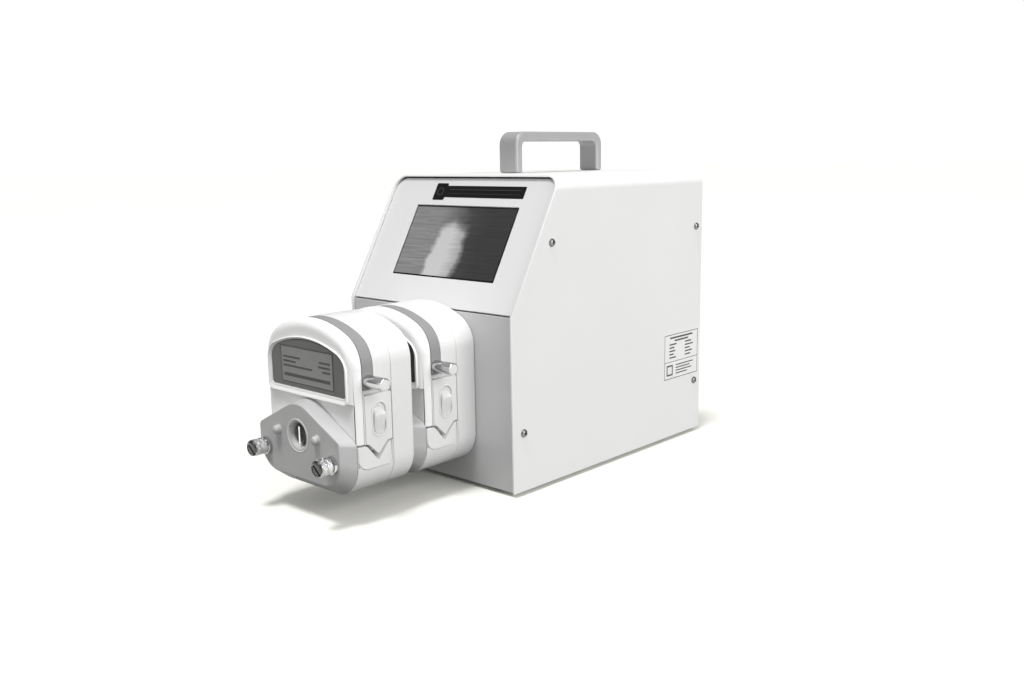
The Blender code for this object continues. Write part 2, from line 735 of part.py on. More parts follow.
def notch_prism(name, parent):
    """The V-shaped tube channel, drawn across the whole head."""
    top = SPLIT_HEIGHT + 3.0
    rise = SPLIT_HEIGHT - NOTCH_FLOOR
    spread = (NOTCH_HALF_WIDTH - NOTCH_FLOOR_HALF) / rise
    wide = NOTCH_FLOOR_HALF + spread * (top - NOTCH_FLOOR)
    outline = [(NOTCH_CENTRE - NOTCH_FLOOR_HALF, NOTCH_FLOOR),
               (NOTCH_CENTRE + NOTCH_FLOOR_HALF, NOTCH_FLOOR),
               (NOTCH_CENTRE + wide, top), (NOTCH_CENTRE - wide, top)]
    return plate(name, [[(-z, y) for z, y in outline]], -60.0, 60.0, parent, rotation=ALONG_X)


def rod_holes(which, low, high, parent):
    return [cylinder(f"{which}_rod_hole_{word}", (side * ROD_X, ROD_HEIGHT), ROD_CLEARANCE,
                     low, high, parent, sides=14)
            for side, word in ((-1, "left"), (1, "right"))]


def back_housing(which, head, rods):
    outline = head_foot() + head_dome()
    piece = plate(f"{which}_back_housing", [outline], 0.0, HOUSING_DEPTH, head, WHITE_PLASTIC)
    bearing = cylinder(f"{which}_bearing_hole", (0.0, AXIS_HEIGHT), 8.0, -1.0, 20.0, head)
    pins = [cylinder(f"{which}_pin_socket_{i}", (side * 22.5, 57.5), 3.6, -1.0, 6.0, head,
                     sides=14) for i, side in enumerate((-1, 1), start=1)]
    rails = boxes(f"{which}_rail_grooves", [
        ((side * 41.0 - 3.0, 62.0, HOUSING_DEPTH - 3.2), (side * 41.0 + 3.0, 105.0, 20.0))
        for side in (-1, 1)], head)
    return cut(piece, bearing, *pins, *rods, rails)


def lower_body(which, head, rods):
    piece = plate(f"{which}_lower_body", [lower_outline(SPLIT_HEIGHT)], HOUSING_DEPTH + GAP,
                  LOWER_FRONT, head, WHITE_PLASTIC)
    well = cylinder(f"{which}_well", (0.0, AXIS_HEIGHT), WELL_RADIUS, 15.0, WELL_FRONT, head,
                    sides=48)
    shaft = cylinder(f"{which}_front_bearing_hole", (0.0, AXIS_HEIGHT), 9.0, 40.0, 66.0, head,
                     sides=28)
    pockets = boxes(f"{which}_seat_pockets", [
        ((side * 48.6 - 6.4, 36.7, 20.0), (side * 48.6 + 6.4, SPLIT_HEIGHT + 2.0, 49.8))
        for side in (-1, 1)], head)
    cut(piece, well, shaft, pockets, notch_prism(f"{which}_tube_channel", head), *rods)
    return shaft


def tube_seats(which, head):
    low, high = 20.3, 49.5
    floor, top = 37.0, SPLIT_HEIGHT
    left, right = NOTCH_CENTRE - NOTCH_FLOOR_HALF, NOTCH_CENTRE + NOTCH_FLOOR_HALF
    corners = [(low, floor, 3.0), (high, floor, 8.0), (high, top, 0.0),
               (NOTCH_CENTRE + NOTCH_HALF_WIDTH, top, 0.0), (right, NOTCH_FLOOR, 0.0),
               (left, NOTCH_FLOOR, 0.0), (NOTCH_CENTRE - NOTCH_HALF_WIDTH, top, 0.0),
               (low, top, 0.0)]
    outline = [(-z, y) for z, y in rounded(corners, 4)]
    plate(f"{which}_tube_seat_right", [outline], 42.5, 50.6, head, WHITE_PLASTIC,
          rotation=ALONG_X)
    plate(f"{which}_tube_seat_left", [outline], -50.6, -42.5, head, WHITE_PLASTIC,
          rotation=ALONG_X)


NOSE_SCALE_X = 0.916
NOSE_SCALE_Y = 0.828
NOSE_SCALE_CENTRE = 68.2


def nose_plate(which, head, rods, shaft):
    """Pentagonal bearing plate. Its back is wider than its face, so its sides slope."""
    corners = [(0.0, 82.2, 25.0), (-46.5, 59.0, 4.0), (-46.5, 25.8, 20.0), (46.5, 25.8, 20.0),
               (46.5, 59.0, 4.0)]
    centre = (0.0, AXIS_HEIGHT)

    def slope(bm):
        for vert in bm.verts:
            if vert.co.z < 0.0:
                y = vert.co.y / MM + centre[1]
                y = NOSE_SCALE_CENTRE + (y - NOSE_SCALE_CENTRE) / NOSE_SCALE_Y
                vert.co.x /= NOSE_SCALE_X
                vert.co.y = (y - centre[1]) * MM

    piece = plate(f"{which}_nose_plate", [rounded(corners, 5)], LOWER_FRONT + GAP, NOSE_FRONT,
                  head, WHITE_PLASTIC, centre=centre, shape=slope)
    cut(piece, shaft, *rods)
    pins = [cylinder(f"{which}_nose_pin_{i}", (side * 22.5, 57.5), 3.1, 58.0, 67.2, head,
                     sides=14) for i, side in enumerate((-1, 1), start=1)]
    return join(piece, *pins)


def shaft_slot(which, head, low, high):
    """Slot that is open downwards, so that the jaw lifts clear of the shaft."""
    corners = [(-9.5, 40.0, 0.0), (9.5, 40.0, 0.0), (9.5, 66.1, 9.4), (-9.5, 66.1, 9.4)]
    return plate(f"{which}_shaft_slot", [rounded(corners, 6)], low, high, head)


def jaw(which, head):
    piece = plate(f"{which}_jaw", [upper_outline(JAW_BOTTOM)], HOUSING_DEPTH + GAP, JAW_FRONT,
                  head, WHITE_PLASTIC)
    track = cylinder(f"{which}_track", (0.0, AXIS_HEIGHT), TRACK_RADIUS, 15.0, WELL_FRONT, head,
                     sides=56)
    far = 62.0
    edge = math.degrees(math.asin((GROOVE_FLOOR - PIVOT_HEIGHT) / CORE_RADIUS))
    groove = [(far, GROOVE_FLOOR)]
    groove += arc(0.0, PIVOT_HEIGHT, CORE_RADIUS, edge, 180.0 - edge, 30)
    groove += [(-far, GROOVE_FLOOR), (-far, 150.0), (far, 150.0)]
    lever_groove = plate(f"{which}_lever_groove", [groove], GROOVE_BACK, JAW_FRONT + 2.0, head)
    pockets = boxes(f"{which}_clamp_pockets", [
        ((side * 50.4 - 5.0, JAW_BOTTOM - 2.0, 15.0), (side * 50.4 + 5.0, GROOVE_FLOOR, 42.9))
        for side in (-1, 1)], head)
    rails = boxes(f"{which}_jaw_rails", [
        ((side * 41.0 - 2.6, 64.0, HOUSING_DEPTH - 2.6), (side * 41.0 + 2.6, 92.0, 20.5))
        for side in (-1, 1)], head)
    mouths = [cylinder(f"{which}_tube_mouth_{i}", (side * 43.5, 50.5), 11.0, 26.0, 38.0, head)
              for i, side in enumerate((-1, 1), start=1)]
    cut(piece, track, lever_groove, pockets, *mouths,
        shaft_slot(f"{which}_jaw", head, 40.0, 46.0))
    return join(piece, rails)


def cap(which, head):
    """Front cover of the jaw: a rounded hood, its foot set back behind the nose plate."""
    edge = 7.0

    def round_rim(bm):
        front = max(vert.co.z for vert in bm.verts) - 1e-6
        rim = [e for e in bm.edges
               if all(v.co.z > front for v in e.verts) and any(v.co.y > 0.03 for v in e.verts)]
        bmesh.ops.bevel(bm, geom=rim, offset=edge * MM, segments=4, profile=0.5,
                        affect="EDGES", clamp_overlap=True)

    centre = (0.0, 50.0)
    bottom = 55.0
    outline = head_dome() + [(-HEAD_HALF_WIDTH, bottom), (HEAD_HALF_WIDTH, bottom)]
    piece = plate(f"{which}_cap", [outline], JAW_FRONT + GAP, CAP_FRONT, head, WHITE_PLASTIC,
                  centre=centre, shape=round_rim)
    foot = box(f"{which}_cap_foot", (-70.0, 40.0, LOWER_FRONT), (70.0, 83.2, CAP_FRONT + 5.0),
               head)
    recess = plate(f"{which}_window_recess", [window_outline(0.3)], CAP_FRONT - 2.2,
                   CAP_FRONT + 5.0, head)
    slot = shaft_slot(f"{which}_cap", head, 42.0, 54.0)
    return cut(piece, foot, recess, slot)


def window_outline(grow=0.0):
    half, bottom = 41.8 + grow, 87.2 - grow
    arch = dome(half, 122.8 + grow, 10.5 + grow, 92.0 + grow)
    foot = rounded([(-half, bottom, 2.0), (half, bottom, 2.0), (half, 110.0, 0.0),
                    (-half, 110.0, 0.0)], 2)[:6]
    return arch + foot


def window_plate(which, head):
    plate(f"{which}_window_plate", [window_outline()], CAP_FRONT - 1.9, CAP_FRONT - 0.4, head,
          DARK_PLASTIC)


def lever(which, head):
    """Arched cam lever that runs round the jaw's core, with its chrome grip pin."""
    steps = 26
    inner = CORE_RADIUS + GAP
    outline = []
    for i in range(steps + 1):
        angle = LEVER_START + (LEVER_END - LEVER_START) * i / steps
        reach = rim_radius(angle)
        outline.append((reach * math.cos(math.radians(angle)),
                        PIVOT_HEIGHT + reach * math.sin(math.radians(angle))))
    outline += arc(0.0, PIVOT_HEIGHT, inner, LEVER_END, LEVER_START, 20)
    low, high = GROOVE_BACK + GAP, JAW_FRONT - GAP + 0.1
    piece = plate(f"{which}_lever", [outline], low, high, head, GREY_STRAP,
                  centre=(0.0, PIVOT_HEIGHT))
    grip = cylinder(f"{which}_grip", (PIVOT_HEIGHT, (low + high) / 2), GRIP_RADIUS, 44.0,
                    GRIP_REACH, head, sides=20, rotation=ALONG_X)
    return join(piece, grip)


def tube_clamps(which, head):
    low, high = 19.3, 42.6
    root = CLAMP_BOTTOM - 0.3
    corners = [(low, CLAMP_BOTTOM, 0.0), (NOTCH_CENTRE - TONGUE_HALF_WIDTH, root, 0.0),
               (NOTCH_CENTRE, TONGUE_TIP, 0.0), (NOTCH_CENTRE + TONGUE_HALF_WIDTH, root, 0.0),
               (high, CLAMP_BOTTOM, 0.0), (high, CLAMP_TOP, 1.5), (low, CLAMP_TOP, 1.5)]
    outline = [(-z, y) for z, y in rounded(corners, 2)]
    oval = [(-z, y) for z, y in rectangle(30.5, 70.8, 13.6, 25.0, 6.6, 5)]
    for side, word in ((1, "right"), (-1, "left")):
        near, far = sorted((side * CLAMP_INNER_X, side * HEAD_HALF_WIDTH))
        piece = plate(f"{which}_tube_clamp_{word}", [outline], near, far, head, WHITE_PLASTIC,
                      rotation=ALONG_X)
        near, far = sorted((side * 49.0, side * 53.0))
        button = plate(f"{which}_thumb_oval_{word}", [oval], near, far, head, rotation=ALONG_X)
        join(piece, button)


def rotor(which, head):
    """Two discs on a shaft. The shaft has a slot at its back and a drive blade in front."""
    r = SHAFT_RADIUS
    profile = [(0.0, 58.0), (r, 58.0), (r, 41.0), (DISC_RADIUS, 41.0), (DISC_RADIUS, 38.6),
               (12.0, 38.6), (12.0, 22.4), (DISC_RADIUS, 22.4), (DISC_RADIUS, 20.0), (r, 20.0),
               (r, -4.5), (0.0, -4.5)]
    piece = turned(f"{which}_rotor", profile, 26, head, STEEL, (0.0, AXIS_HEIGHT, 0.0))
    slot = box(f"{which}_drive_slot", (-SLOT_WIDTH / 2, AXIS_HEIGHT - 10.0, -6.0),
               (SLOT_WIDTH / 2, AXIS_HEIGHT + 10.0, 0.4), head)
    half = BLADE_HEIGHT / 2
    blade = box(f"{which}_blade", (-BLADE_THICK / 2, AXIS_HEIGHT - half, 57.5),
                (BLADE_THICK / 2, AXIS_HEIGHT + half, 61.3), head)
    holes = []
    for i, angle in enumerate(ROLLER_ANGLES, start=1):
        x, y = roller_centre(angle)
        holes.append(cylinder(f"{which}_roller_hole_{i}", (x, y), 2.9, 18.0, 43.0, head,
                              sides=12))
    cut(piece, slot, *holes)
    return join(piece, blade)


def roller_centre(angle):
    turn = math.radians(angle)
    return ROLLER_ORBIT * math.cos(turn), AXIS_HEIGHT + ROLLER_ORBIT * math.sin(turn)


def rollers(which, head):
    profile = [(0.0, 40.4), (2.5, 40.4), (2.5, 38.1), (ROLLER_RADIUS, 38.1),
               (ROLLER_RADIUS, 22.9), (2.5, 22.9), (2.5, 20.6), (0.0, 20.6)]
    for i, angle in enumerate(ROLLER_ANGLES, start=1):
        x, y = roller_centre(angle)
        turned(f"{which}_roller_{i}", profile, 14, head, STEEL, (x, y, 0.0))


def pump_head(which):
    head = HEADS[which]
    rods = rod_holes(which, -1.0, NOSE_FRONT + 2.0, head)
    back_housing(which, head, rods)
    shaft = lower_body(which, head, rods)
    tube_seats(which, head)
    nose_plate(which, head, rods, shaft)
    jaw(which, head)
    cap(which, head)
    window_plate(which, head)
    lever(which, head)
    tube_clamps(which, head)
    rotor(which, head)
    rollers(which, head)
    return rods


def thumb_screws():
    """Long screws through both heads into the motor plate, with knurled slotted heads."""
    head = HEADS["front"]
    seat = NOSE_FRONT + GAP
    end = -HEAD_PITCH - HEAD_BACK_Y + MOTOR_PLATE_FRONT - PLATE_THICK + 5.5
    profile = [(0.0, KNOB_TIP), (KNOB_RADIUS - 1.0, KNOB_TIP), (KNOB_RADIUS, KNOB_TIP - 1.0),
               (KNOB_RADIUS, seat + 2.4), (KNOB_RADIUS + 0.5, seat + 2.0),
               (KNOB_RADIUS + 0.5, seat), (ROD_RADIUS, seat), (ROD_RADIUS, end), (0.0, end)]
    for side, word in ((1, "right"), (-1, "left")):
        piece = turned(f"thumb_screw_{word}", profile, 20, head, CHROME,
                       (side * ROD_X, ROD_HEIGHT, 0.0))
        x = side * ROD_X
        slot = box(f"thumb_slot_{word}", (x - 8.0, ROD_HEIGHT - 0.8, KNOB_TIP - 2.2),
                   (x + 8.0, ROD_HEIGHT + 0.8, KNOB_TIP + 1.0), head)
        slot.rotation_euler = (0.0, 0.0, math.radians(-40.0))
        cut(piece, slot)


# ---------------------------------------------------------------- assembly

def drive_unit():
    holes = screw_holes()
    for piece in (cover_shell(), base_pan(), control_panel(), rear_panel()):
        cut(piece, *holes)
    panel = front_panel()
    bracket = motor_plate()
    rods = rod_holes("panel", -GAP - PANEL_SHEET - PLATE_THICK - 4.0, 2.0, HEADS["rear"])
    cut(panel, *rods)
    cut(bracket, *rods)
    touch_screen()
    carry_handle()
    side_screws()
    feet()
    power_inlet()
    power_switch()
    cooling_fan()
    motor()
    drive_shaft()
    control_board()
    power_supply()


drive_unit()
for head_name in HEADS:
    pump_head(head_name)
thumb_screws()
bpy.context.view_layer.update()
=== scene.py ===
"""Looks of a bench peristaltic pump: a sheet-metal drive unit with two stacked pump heads."""
import math

import bmesh
import bpy
from mathutils import Matrix, Vector


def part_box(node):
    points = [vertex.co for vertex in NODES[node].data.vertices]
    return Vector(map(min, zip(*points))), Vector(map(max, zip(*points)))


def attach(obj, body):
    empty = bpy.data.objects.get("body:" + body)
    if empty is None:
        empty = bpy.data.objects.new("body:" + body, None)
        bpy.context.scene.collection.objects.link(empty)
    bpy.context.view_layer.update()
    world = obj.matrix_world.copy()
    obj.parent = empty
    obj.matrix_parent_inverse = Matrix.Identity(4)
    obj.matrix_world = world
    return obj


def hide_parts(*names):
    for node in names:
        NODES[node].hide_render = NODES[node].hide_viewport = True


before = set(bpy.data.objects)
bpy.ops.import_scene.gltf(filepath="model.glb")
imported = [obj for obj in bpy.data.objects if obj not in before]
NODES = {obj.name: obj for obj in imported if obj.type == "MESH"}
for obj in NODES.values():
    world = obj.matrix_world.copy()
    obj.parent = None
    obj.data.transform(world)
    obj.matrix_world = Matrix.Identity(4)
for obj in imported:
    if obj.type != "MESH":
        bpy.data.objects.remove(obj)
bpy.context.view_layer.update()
SCENE = bpy.context.scene

# ------------------------------------------------------------------ frames, in millimetres

CASE_LOW, CASE_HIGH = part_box("cover_shell")
CASE_WIDTH = (CASE_HIGH.x - CASE_LOW.x) * 1000
CASE_DEPTH = (CASE_HIGH.y - CASE_LOW.y) * 1000
CASE_HEIGHT = (CASE_HIGH.z - CASE_LOW.z) * 1000
TOP_RADIUS, COVER_SHEET = 12.0, 1.8
KNEE, SETBACK = 133.0, 56.0
RECESS, PANEL_SHEET = 2.4, 2.0
INNER_HALF = CASE_WIDTH / 2 - 2.2
SCREEN_X, SCREEN_HALF, SCREEN_LOW, SCREEN_HIGH = 2.5, 56.5, 25.5, 87.0
SLOPE_ANGLE = math.atan2(CASE_HEIGHT - KNEE, SETBACK)
SLOPE_LENGTH = math.hypot(CASE_HEIGHT - KNEE, SETBACK)
MILLIMETRES = Matrix.Scale(0.001, 4)


def frame_at(x, y, z, turn=None):
    """Matrix from a local frame in millimetres to the world, at a point in metres."""
    spin = Matrix.Identity(4) if turn is None else turn
    return Matrix.Translation((x, y, z)) @ spin @ MILLIMETRES


CASE = frame_at(0.0, CASE_LOW.y, CASE_LOW.z)
SLOPE = frame_at(0.0, CASE_LOW.y, CASE_LOW.z + KNEE / 1000, Matrix.Rotation(SLOPE_ANGLE, 4, "X"))
HEADS = {which: frame_at(0.0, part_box(f"{which}_back_housing")[1].y, CASE_LOW.z,
                         Matrix.Rotation(math.pi / 2, 4, "X")) for which in ("rear", "front")}

# Pump head, the same sizes as the CAD's: x sideways, y up, z forward
HALF = 50.75
BOTTOM, TOP = 17.0, 137.8
SHOULDER, CROWN, HEEL = 23.5, 84.5, 24.0
AXIS_Y = 56.6
PIVOT_Y = 98.5
CORE = 36.0
BACK_END, BODY_START = 18.6, 18.9
GROOVE_BACK, JAW_FRONT = 34.2, 43.9
LOWER_FRONT, CAP_FRONT, NOSE_FRONT = 50.4, 52.4, 62.7
SPLIT = 53.7
NOTCH_Z = 32.0
ROD_X, ROD_Y, ROD_HOLE = 38.4, 43.0, 3.2
PIN_X, PIN_Y = 22.5, 57.5
CLAMP_BUTTON_Z = NOTCH_Z - 1.5
ROLLER_CIRCLE, ROLLER_ANGLES = 25.0, (30.0, 150.0, 270.0)
SIDES = ((1, "right"), (-1, "left"))


# ------------------------------------------------------------------ materials

class Nodes:
    """A small wrapper that adds nodes to one material."""

    def __init__(self, name):
        self.material = bpy.data.materials.new(name)
        self.material.use_nodes = True
        self.tree = self.material.node_tree
        self.shader = self.tree.nodes["Principled BSDF"]

    def add(self, kind, **values):
        node = self.tree.nodes.new(kind)
        for key, value in values.items():
            if hasattr(node, key):
                setattr(node, key, value)
            else:
                node.inputs[key.replace("_", " ")].default_value = value
        return node

    def link(self, a, b):
        self.tree.links.new(a, b)

    def position(self, stretch=(1.0, 1.0, 1.0), source="Object"):
        coords = self.add("ShaderNodeTexCoord")
        mapping = self.add("ShaderNodeMapping", Scale=stretch)
        self.link(coords.outputs[source], mapping.inputs["Vector"])
        return mapping.outputs["Vector"]

    def noise(self, vector, scale, detail=3.0, rough=0.5, distortion=0.0):
        node = self.add("ShaderNodeTexNoise", Scale=scale, Detail=detail, Roughness=rough,
                        Distortion=distortion)
        self.link(vector, node.inputs["Vector"])
        return node.outputs["Fac"]

    def remap(self, value, low, high, start=0.3, end=0.7):
        node = self.add("ShaderNodeMapRange", From_Min=start, From_Max=end, To_Min=low,
                        To_Max=high)
        self.link(value, node.inputs["Value"])
        return node.outputs["Result"]

    def ramp(self, value, stops):
        node = self.add("ShaderNodeValToRGB")
        for i, (place, colour) in enumerate(stops):
            stop = node.color_ramp.elements[i] if i < 2 else node.color_ramp.elements.new(place)
            stop.position = place
            stop.color = (*colour, 1.0)
        self.link(value, node.inputs["Fac"])
        return node.outputs["Color"]

    def math(self, operation, a, b):
        node = self.add("ShaderNodeMath", operation=operation)
        for socket, value in zip(node.inputs, (a, b)):
            if isinstance(value, (int, float)):
                socket.default_value = value
            else:
                self.link(value, socket)
        return node.outputs["Value"]

    def bump(self, height, distance, strength=1.0, after=None):
        node = self.add("ShaderNodeBump", Strength=strength, Distance=distance)
        self.link(height, node.inputs["Height"])
        if after is not None:
            self.link(after, node.inputs["Normal"])
        return node.outputs["Normal"]


def shade(colour, factor):
    return tuple(min(1.0, c * factor) for c in colour)


def surface(name, colour, rough, metallic=0.0, mottle=0.04, mottle_scale=25.0, swing=0.06,
            grain=1400.0, depth=20.0, stretch=(1.0, 1.0, 1.0), coat=0.0, gloss=0.5):
    """Painted, moulded or machined finish: mottled colour, uneven gloss and a fine grain, whose
    depth is in micrometres."""
    n = Nodes(name)
    broad = n.noise(n.position(), mottle_scale, 4.0, 0.6)
    fine = n.noise(n.position(stretch), grain, 3.0, 0.6)
    worn = n.noise(n.position(stretch), grain * 0.12, 4.0, 0.65)
    n.link(n.ramp(broad, [(0.3, shade(colour, 1.0 - mottle)), (0.7, shade(colour, 1.0 + mottle))]),
           n.shader.inputs["Base Color"])
    blend = n.math("ADD", n.math("MULTIPLY", broad, 0.4), n.math("MULTIPLY", worn, 0.6))
    n.link(n.remap(blend, rough - swing, rough + swing), n.shader.inputs["Roughness"])
    n.link(n.bump(fine, depth / 1e6), n.shader.inputs["Normal"])
    n.shader.inputs["Metallic"].default_value = metallic
    n.shader.inputs["Specular IOR Level"].default_value = gloss
    if coat:
        n.shader.inputs["Coat Weight"].default_value = coat
        n.shader.inputs["Coat Roughness"].default_value = 0.12
    return n.material


def scratched(name, colour, rough, direction, depth=4.0):
    """Bright metal with fine lines along one direction and a few stray scratches."""
    n = Nodes(name)
    lines = n.noise(n.position(direction), 160.0, 5.0, 0.7)
    stray = n.noise(n.position((9.0, 2.0, 5.0)), 60.0, 2.0, 0.5, 2.5)
    haze = n.noise(n.position(), 70.0, 3.0)
    n.link(n.ramp(haze, [(0.3, shade(colour, 0.93)), (0.75, colour)]),
           n.shader.inputs["Base Color"])
    blend = n.math("ADD", n.math("MULTIPLY", lines, 0.6), n.math("MULTIPLY", haze, 0.4))
    n.link(n.remap(blend, rough * 0.6, rough * 1.5), n.shader.inputs["Roughness"])
    first = n.bump(lines, depth / 1e6)
    n.link(n.bump(stray, depth / 1e6 * 1.5, 0.5, first), n.shader.inputs["Normal"])
    n.shader.inputs["Metallic"].default_value = 1.0
    return n.material


def screen_glass():
    """Switched-off display with a painted reflection: grey on the left, a pale streaked bloom, near
    black on the right.
    """
    n = Nodes("display_glass_painted_reflection")
    parts = n.add("ShaderNodeSeparateXYZ")
    n.link(n.position(source="UV"), parts.inputs["Vector"])
    u, v = parts.outputs["X"], parts.outputs["Y"]

    def ease(value, start, end):
        node = n.add("ShaderNodeMapRange", interpolation_type="SMOOTHSTEP", From_Min=start,
                     From_Max=end)
        n.link(value, node.inputs["Value"])
        return node.outputs["Result"]

    # Painted reflection: streaks, a pale bloom left of centre, and a sweep from grey on the left to
    # near black on the right.
    painted_reflection_streaks = n.noise(n.position((1.1, 17.0, 1.0), "UV"), 2.2, 4.0, 0.6, 0.9)
    cloud = n.noise(n.position(source="UV"), 3.0, 4.0, 0.6, 0.5)
    wander = n.math("MULTIPLY", n.math("SUBTRACT", cloud, 0.5), 0.16)
    across = n.math("ADD", u, wander)
    middle = n.math("ABSOLUTE", n.math("SUBTRACT", across, 0.46), 0.0)
    height = n.math("ADD", v, n.math("MULTIPLY", middle, 0.9))
    left = ease(n.math("SUBTRACT", across, n.math("MULTIPLY", height, 0.06)), 0.24, 0.32)
    right = n.math("SUBTRACT", 1.0, ease(across, 0.56, 0.64))
    top = n.math("SUBTRACT", 1.0, ease(height, 0.66, 0.88))
    painted_reflection_bloom = n.math("MULTIPLY", n.math("MULTIPLY", left, right), top)
    base = n.math("SUBTRACT", 0.62, n.math("MULTIPLY", ease(across, 0.25, 0.80), 0.54))
    level = n.math("ADD", base, n.math("MULTIPLY", painted_reflection_bloom, 0.50))
    level = n.math("ADD", level, n.math("MULTIPLY", n.math("SUBTRACT", painted_reflection_streaks, 0.5), 0.34))
    n.link(n.ramp(level, [(0.0, (0.016, 0.016, 0.017)), (0.25, (0.040, 0.040, 0.041)),
                          (0.60, (0.20, 0.20, 0.203)), (0.95, (0.56, 0.56, 0.56))]),
           n.shader.inputs["Base Color"])
    smear = n.noise(n.position((30.0, 30.0, 8.0)), 4.0, 4.0, 0.6)
    n.link(n.remap(smear, 0.06, 0.16), n.shader.inputs["Roughness"])
    n.shader.inputs["Coat Weight"].default_value = 0.15
    n.shader.inputs["Coat Roughness"].default_value = 0.05
    return n.material


def circuit_board():
    """Green board with copper tracks under the mask and pale part outlines."""
    n = Nodes("board_green")
    brick = n.add("ShaderNodeTexBrick", Scale=220.0, Mortar_Size=0.06, Brick_Width=0.8,
                  Row_Height=0.35)
    brick.inputs["Color1"].default_value = (0.02, 0.16, 0.07, 1.0)
    brick.inputs["Color2"].default_value = (0.03, 0.20, 0.09, 1.0)
    brick.inputs["Mortar"].default_value = (0.06, 0.32, 0.14, 1.0)
    n.link(n.position(), brick.inputs["Vector"])
    n.link(brick.outputs["Color"], n.shader.inputs["Base Color"])
    dust = n.noise(n.position(), 90.0, 4.0)
    n.link(n.remap(dust, 0.3, 0.5), n.shader.inputs["Roughness"])
    n.link(n.bump(brick.outputs["Fac"], 0.00003), n.shader.inputs["Normal"])
    return n.material


PAINT = surface("white_powder_coat", (0.83, 0.83, 0.825), 0.46, mottle=0.012, mottle_scale=9.0,
                grain=1100.0, depth=30.0)
PANEL_PAINT = surface("white_panel_coat", (0.76, 0.76, 0.76), 0.42, mottle=0.012,
                      mottle_scale=12.0, grain=1300.0, depth=20.0)
GREY = surface("grey_satin_panel", (0.62, 0.62, 0.624), 0.40, 0.1, mottle=0.03,
               mottle_scale=6.0, grain=1800.0, depth=12.0, swing=0.05)
PLASTIC = surface("white_plastic", (0.80, 0.80, 0.795), 0.33, mottle=0.012, mottle_scale=18.0,
                  grain=2600.0, depth=8.0, swing=0.05, coat=0.15)
# A lighter copy of the head's white plastic for the cap and window frame: painted light on these
# parts.
CAP_PLASTIC_PAINTED_LIGHT = surface("cap_plastic_painted_light", (0.93, 0.93, 0.925), 0.33, mottle=0.012,
                    mottle_scale=18.0, grain=2600.0, depth=8.0, swing=0.05, coat=0.15)
# A darker copy of the head's white plastic for the nose plate: painted shade over the whole piece.
NOSE_PLASTIC_PAINTED_SHADE = surface("nose_plastic_painted_shade", (0.49, 0.49, 0.49), 0.44, mottle=0.02, mottle_scale=22.0,
               grain=2200.0, depth=14.0, swing=0.05)
STRAP = surface("lever_grey_plastic", (0.27, 0.27, 0.274), 0.52, mottle=0.03,
                mottle_scale=30.0, grain=2400.0, depth=14.0)
HANDLE = surface("handle_blasted", (0.38, 0.38, 0.384), 0.42, 0.2, mottle=0.03,
                 mottle_scale=20.0, grain=2800.0, depth=10.0)
WINDOW = surface("smoked_window", (0.034, 0.034, 0.035), 0.34, mottle=0.12, mottle_scale=16.0,
                 grain=900.0, depth=3.0, swing=0.08, coat=0.4)
LABEL = surface("label_silver", (0.24, 0.24, 0.242), 0.45, 0.1, mottle=0.03,
                mottle_scale=30.0, grain=500.0, depth=4.0, stretch=(1.0, 1.0, 14.0))
SIDE_LABEL = surface("label_white", (0.86, 0.86, 0.85), 0.35, mottle=0.01, mottle_scale=40.0,
                     grain=900.0, depth=4.0)
INK = surface("label_ink", (0.03, 0.03, 0.03), 0.5, mottle=0.3, mottle_scale=300.0,
              grain=3000.0, depth=2.0)
STRIP = surface("dark_strip", (0.006, 0.006, 0.0062), 0.62, mottle=0.2, mottle_scale=60.0,
                grain=1500.0, depth=6.0, gloss=0.12)
STRIP_MARK = surface("strip_grey_print", (0.035, 0.035, 0.036), 0.55, mottle=0.2,
                     mottle_scale=90.0, grain=1500.0, depth=4.0, gloss=0.2)
BLACK = surface("black_plastic", (0.028, 0.028, 0.029), 0.45, mottle=0.15, mottle_scale=60.0,
                grain=2000.0, depth=30.0)
RUBBER = surface("rubber", (0.03, 0.03, 0.03), 0.78, mottle=0.2, mottle_scale=90.0,
                 grain=1600.0, depth=50.0)
OXIDE = surface("black_oxide_steel", (0.035, 0.035, 0.036), 0.35, 0.6, mottle=0.25,
                mottle_scale=120.0, grain=1500.0, depth=6.0)
MOTOR = surface("motor_black", (0.03, 0.03, 0.032), 0.4, mottle=0.15, mottle_scale=40.0,
                grain=900.0, depth=30.0)
CHROME = scratched("chrome", (0.56, 0.56, 0.57), 0.13, (14.0, 1.0, 1.0))
# Steel for the side screws, darkened over the whole head: painted shade for the cross recess and
# under the rim.
SCREW_STEEL_PAINTED_SHADE = scratched("screw_steel_painted_shade", (0.22, 0.22, 0.223), 0.2, (1.0, 9.0, 1.0))
DARK_NICKEL = scratched("dark_nickel", (0.10, 0.10, 0.102), 0.22, (1.0, 1.0, 9.0))
CHROME_KNURL = scratched("chrome_knurled", (0.50, 0.50, 0.51), 0.2, (1.0, 1.0, 12.0), 6.0)
STEEL = scratched("turned_steel", (0.62, 0.62, 0.63), 0.25, (1.0, 14.0, 1.0), 10.0)
BRIGHT = scratched("bright_steel", (0.85, 0.85, 0.86), 0.2, (1.0, 1.0, 10.0))
SHEET = scratched("galvanised_sheet", (0.60, 0.61, 0.62), 0.35, (1.0, 8.0, 1.0), 10.0)
ALUMINIUM = scratched("milled_aluminium", (0.68, 0.68, 0.69), 0.3, (12.0, 1.0, 1.0), 10.0)
SCREEN = screen_glass()
BOARD = circuit_board()


# ------------------------------------------------------------------ outlines

def polar(radius, degrees, cx=0.0, cy=0.0):
    angle = math.radians(degrees)
    return cx + radius * math.cos(angle), cy + radius * math.sin(angle)


def arc(cx, cy, radius, start, end, steps):
    return [polar(radius, start + (end - start) * i / steps, cx, cy) for i in range(steps + 1)]


def circle(cx, cy, radius, steps=64):
    return arc(cx, cy, radius, 0.0, 360.0, steps)[:-1]


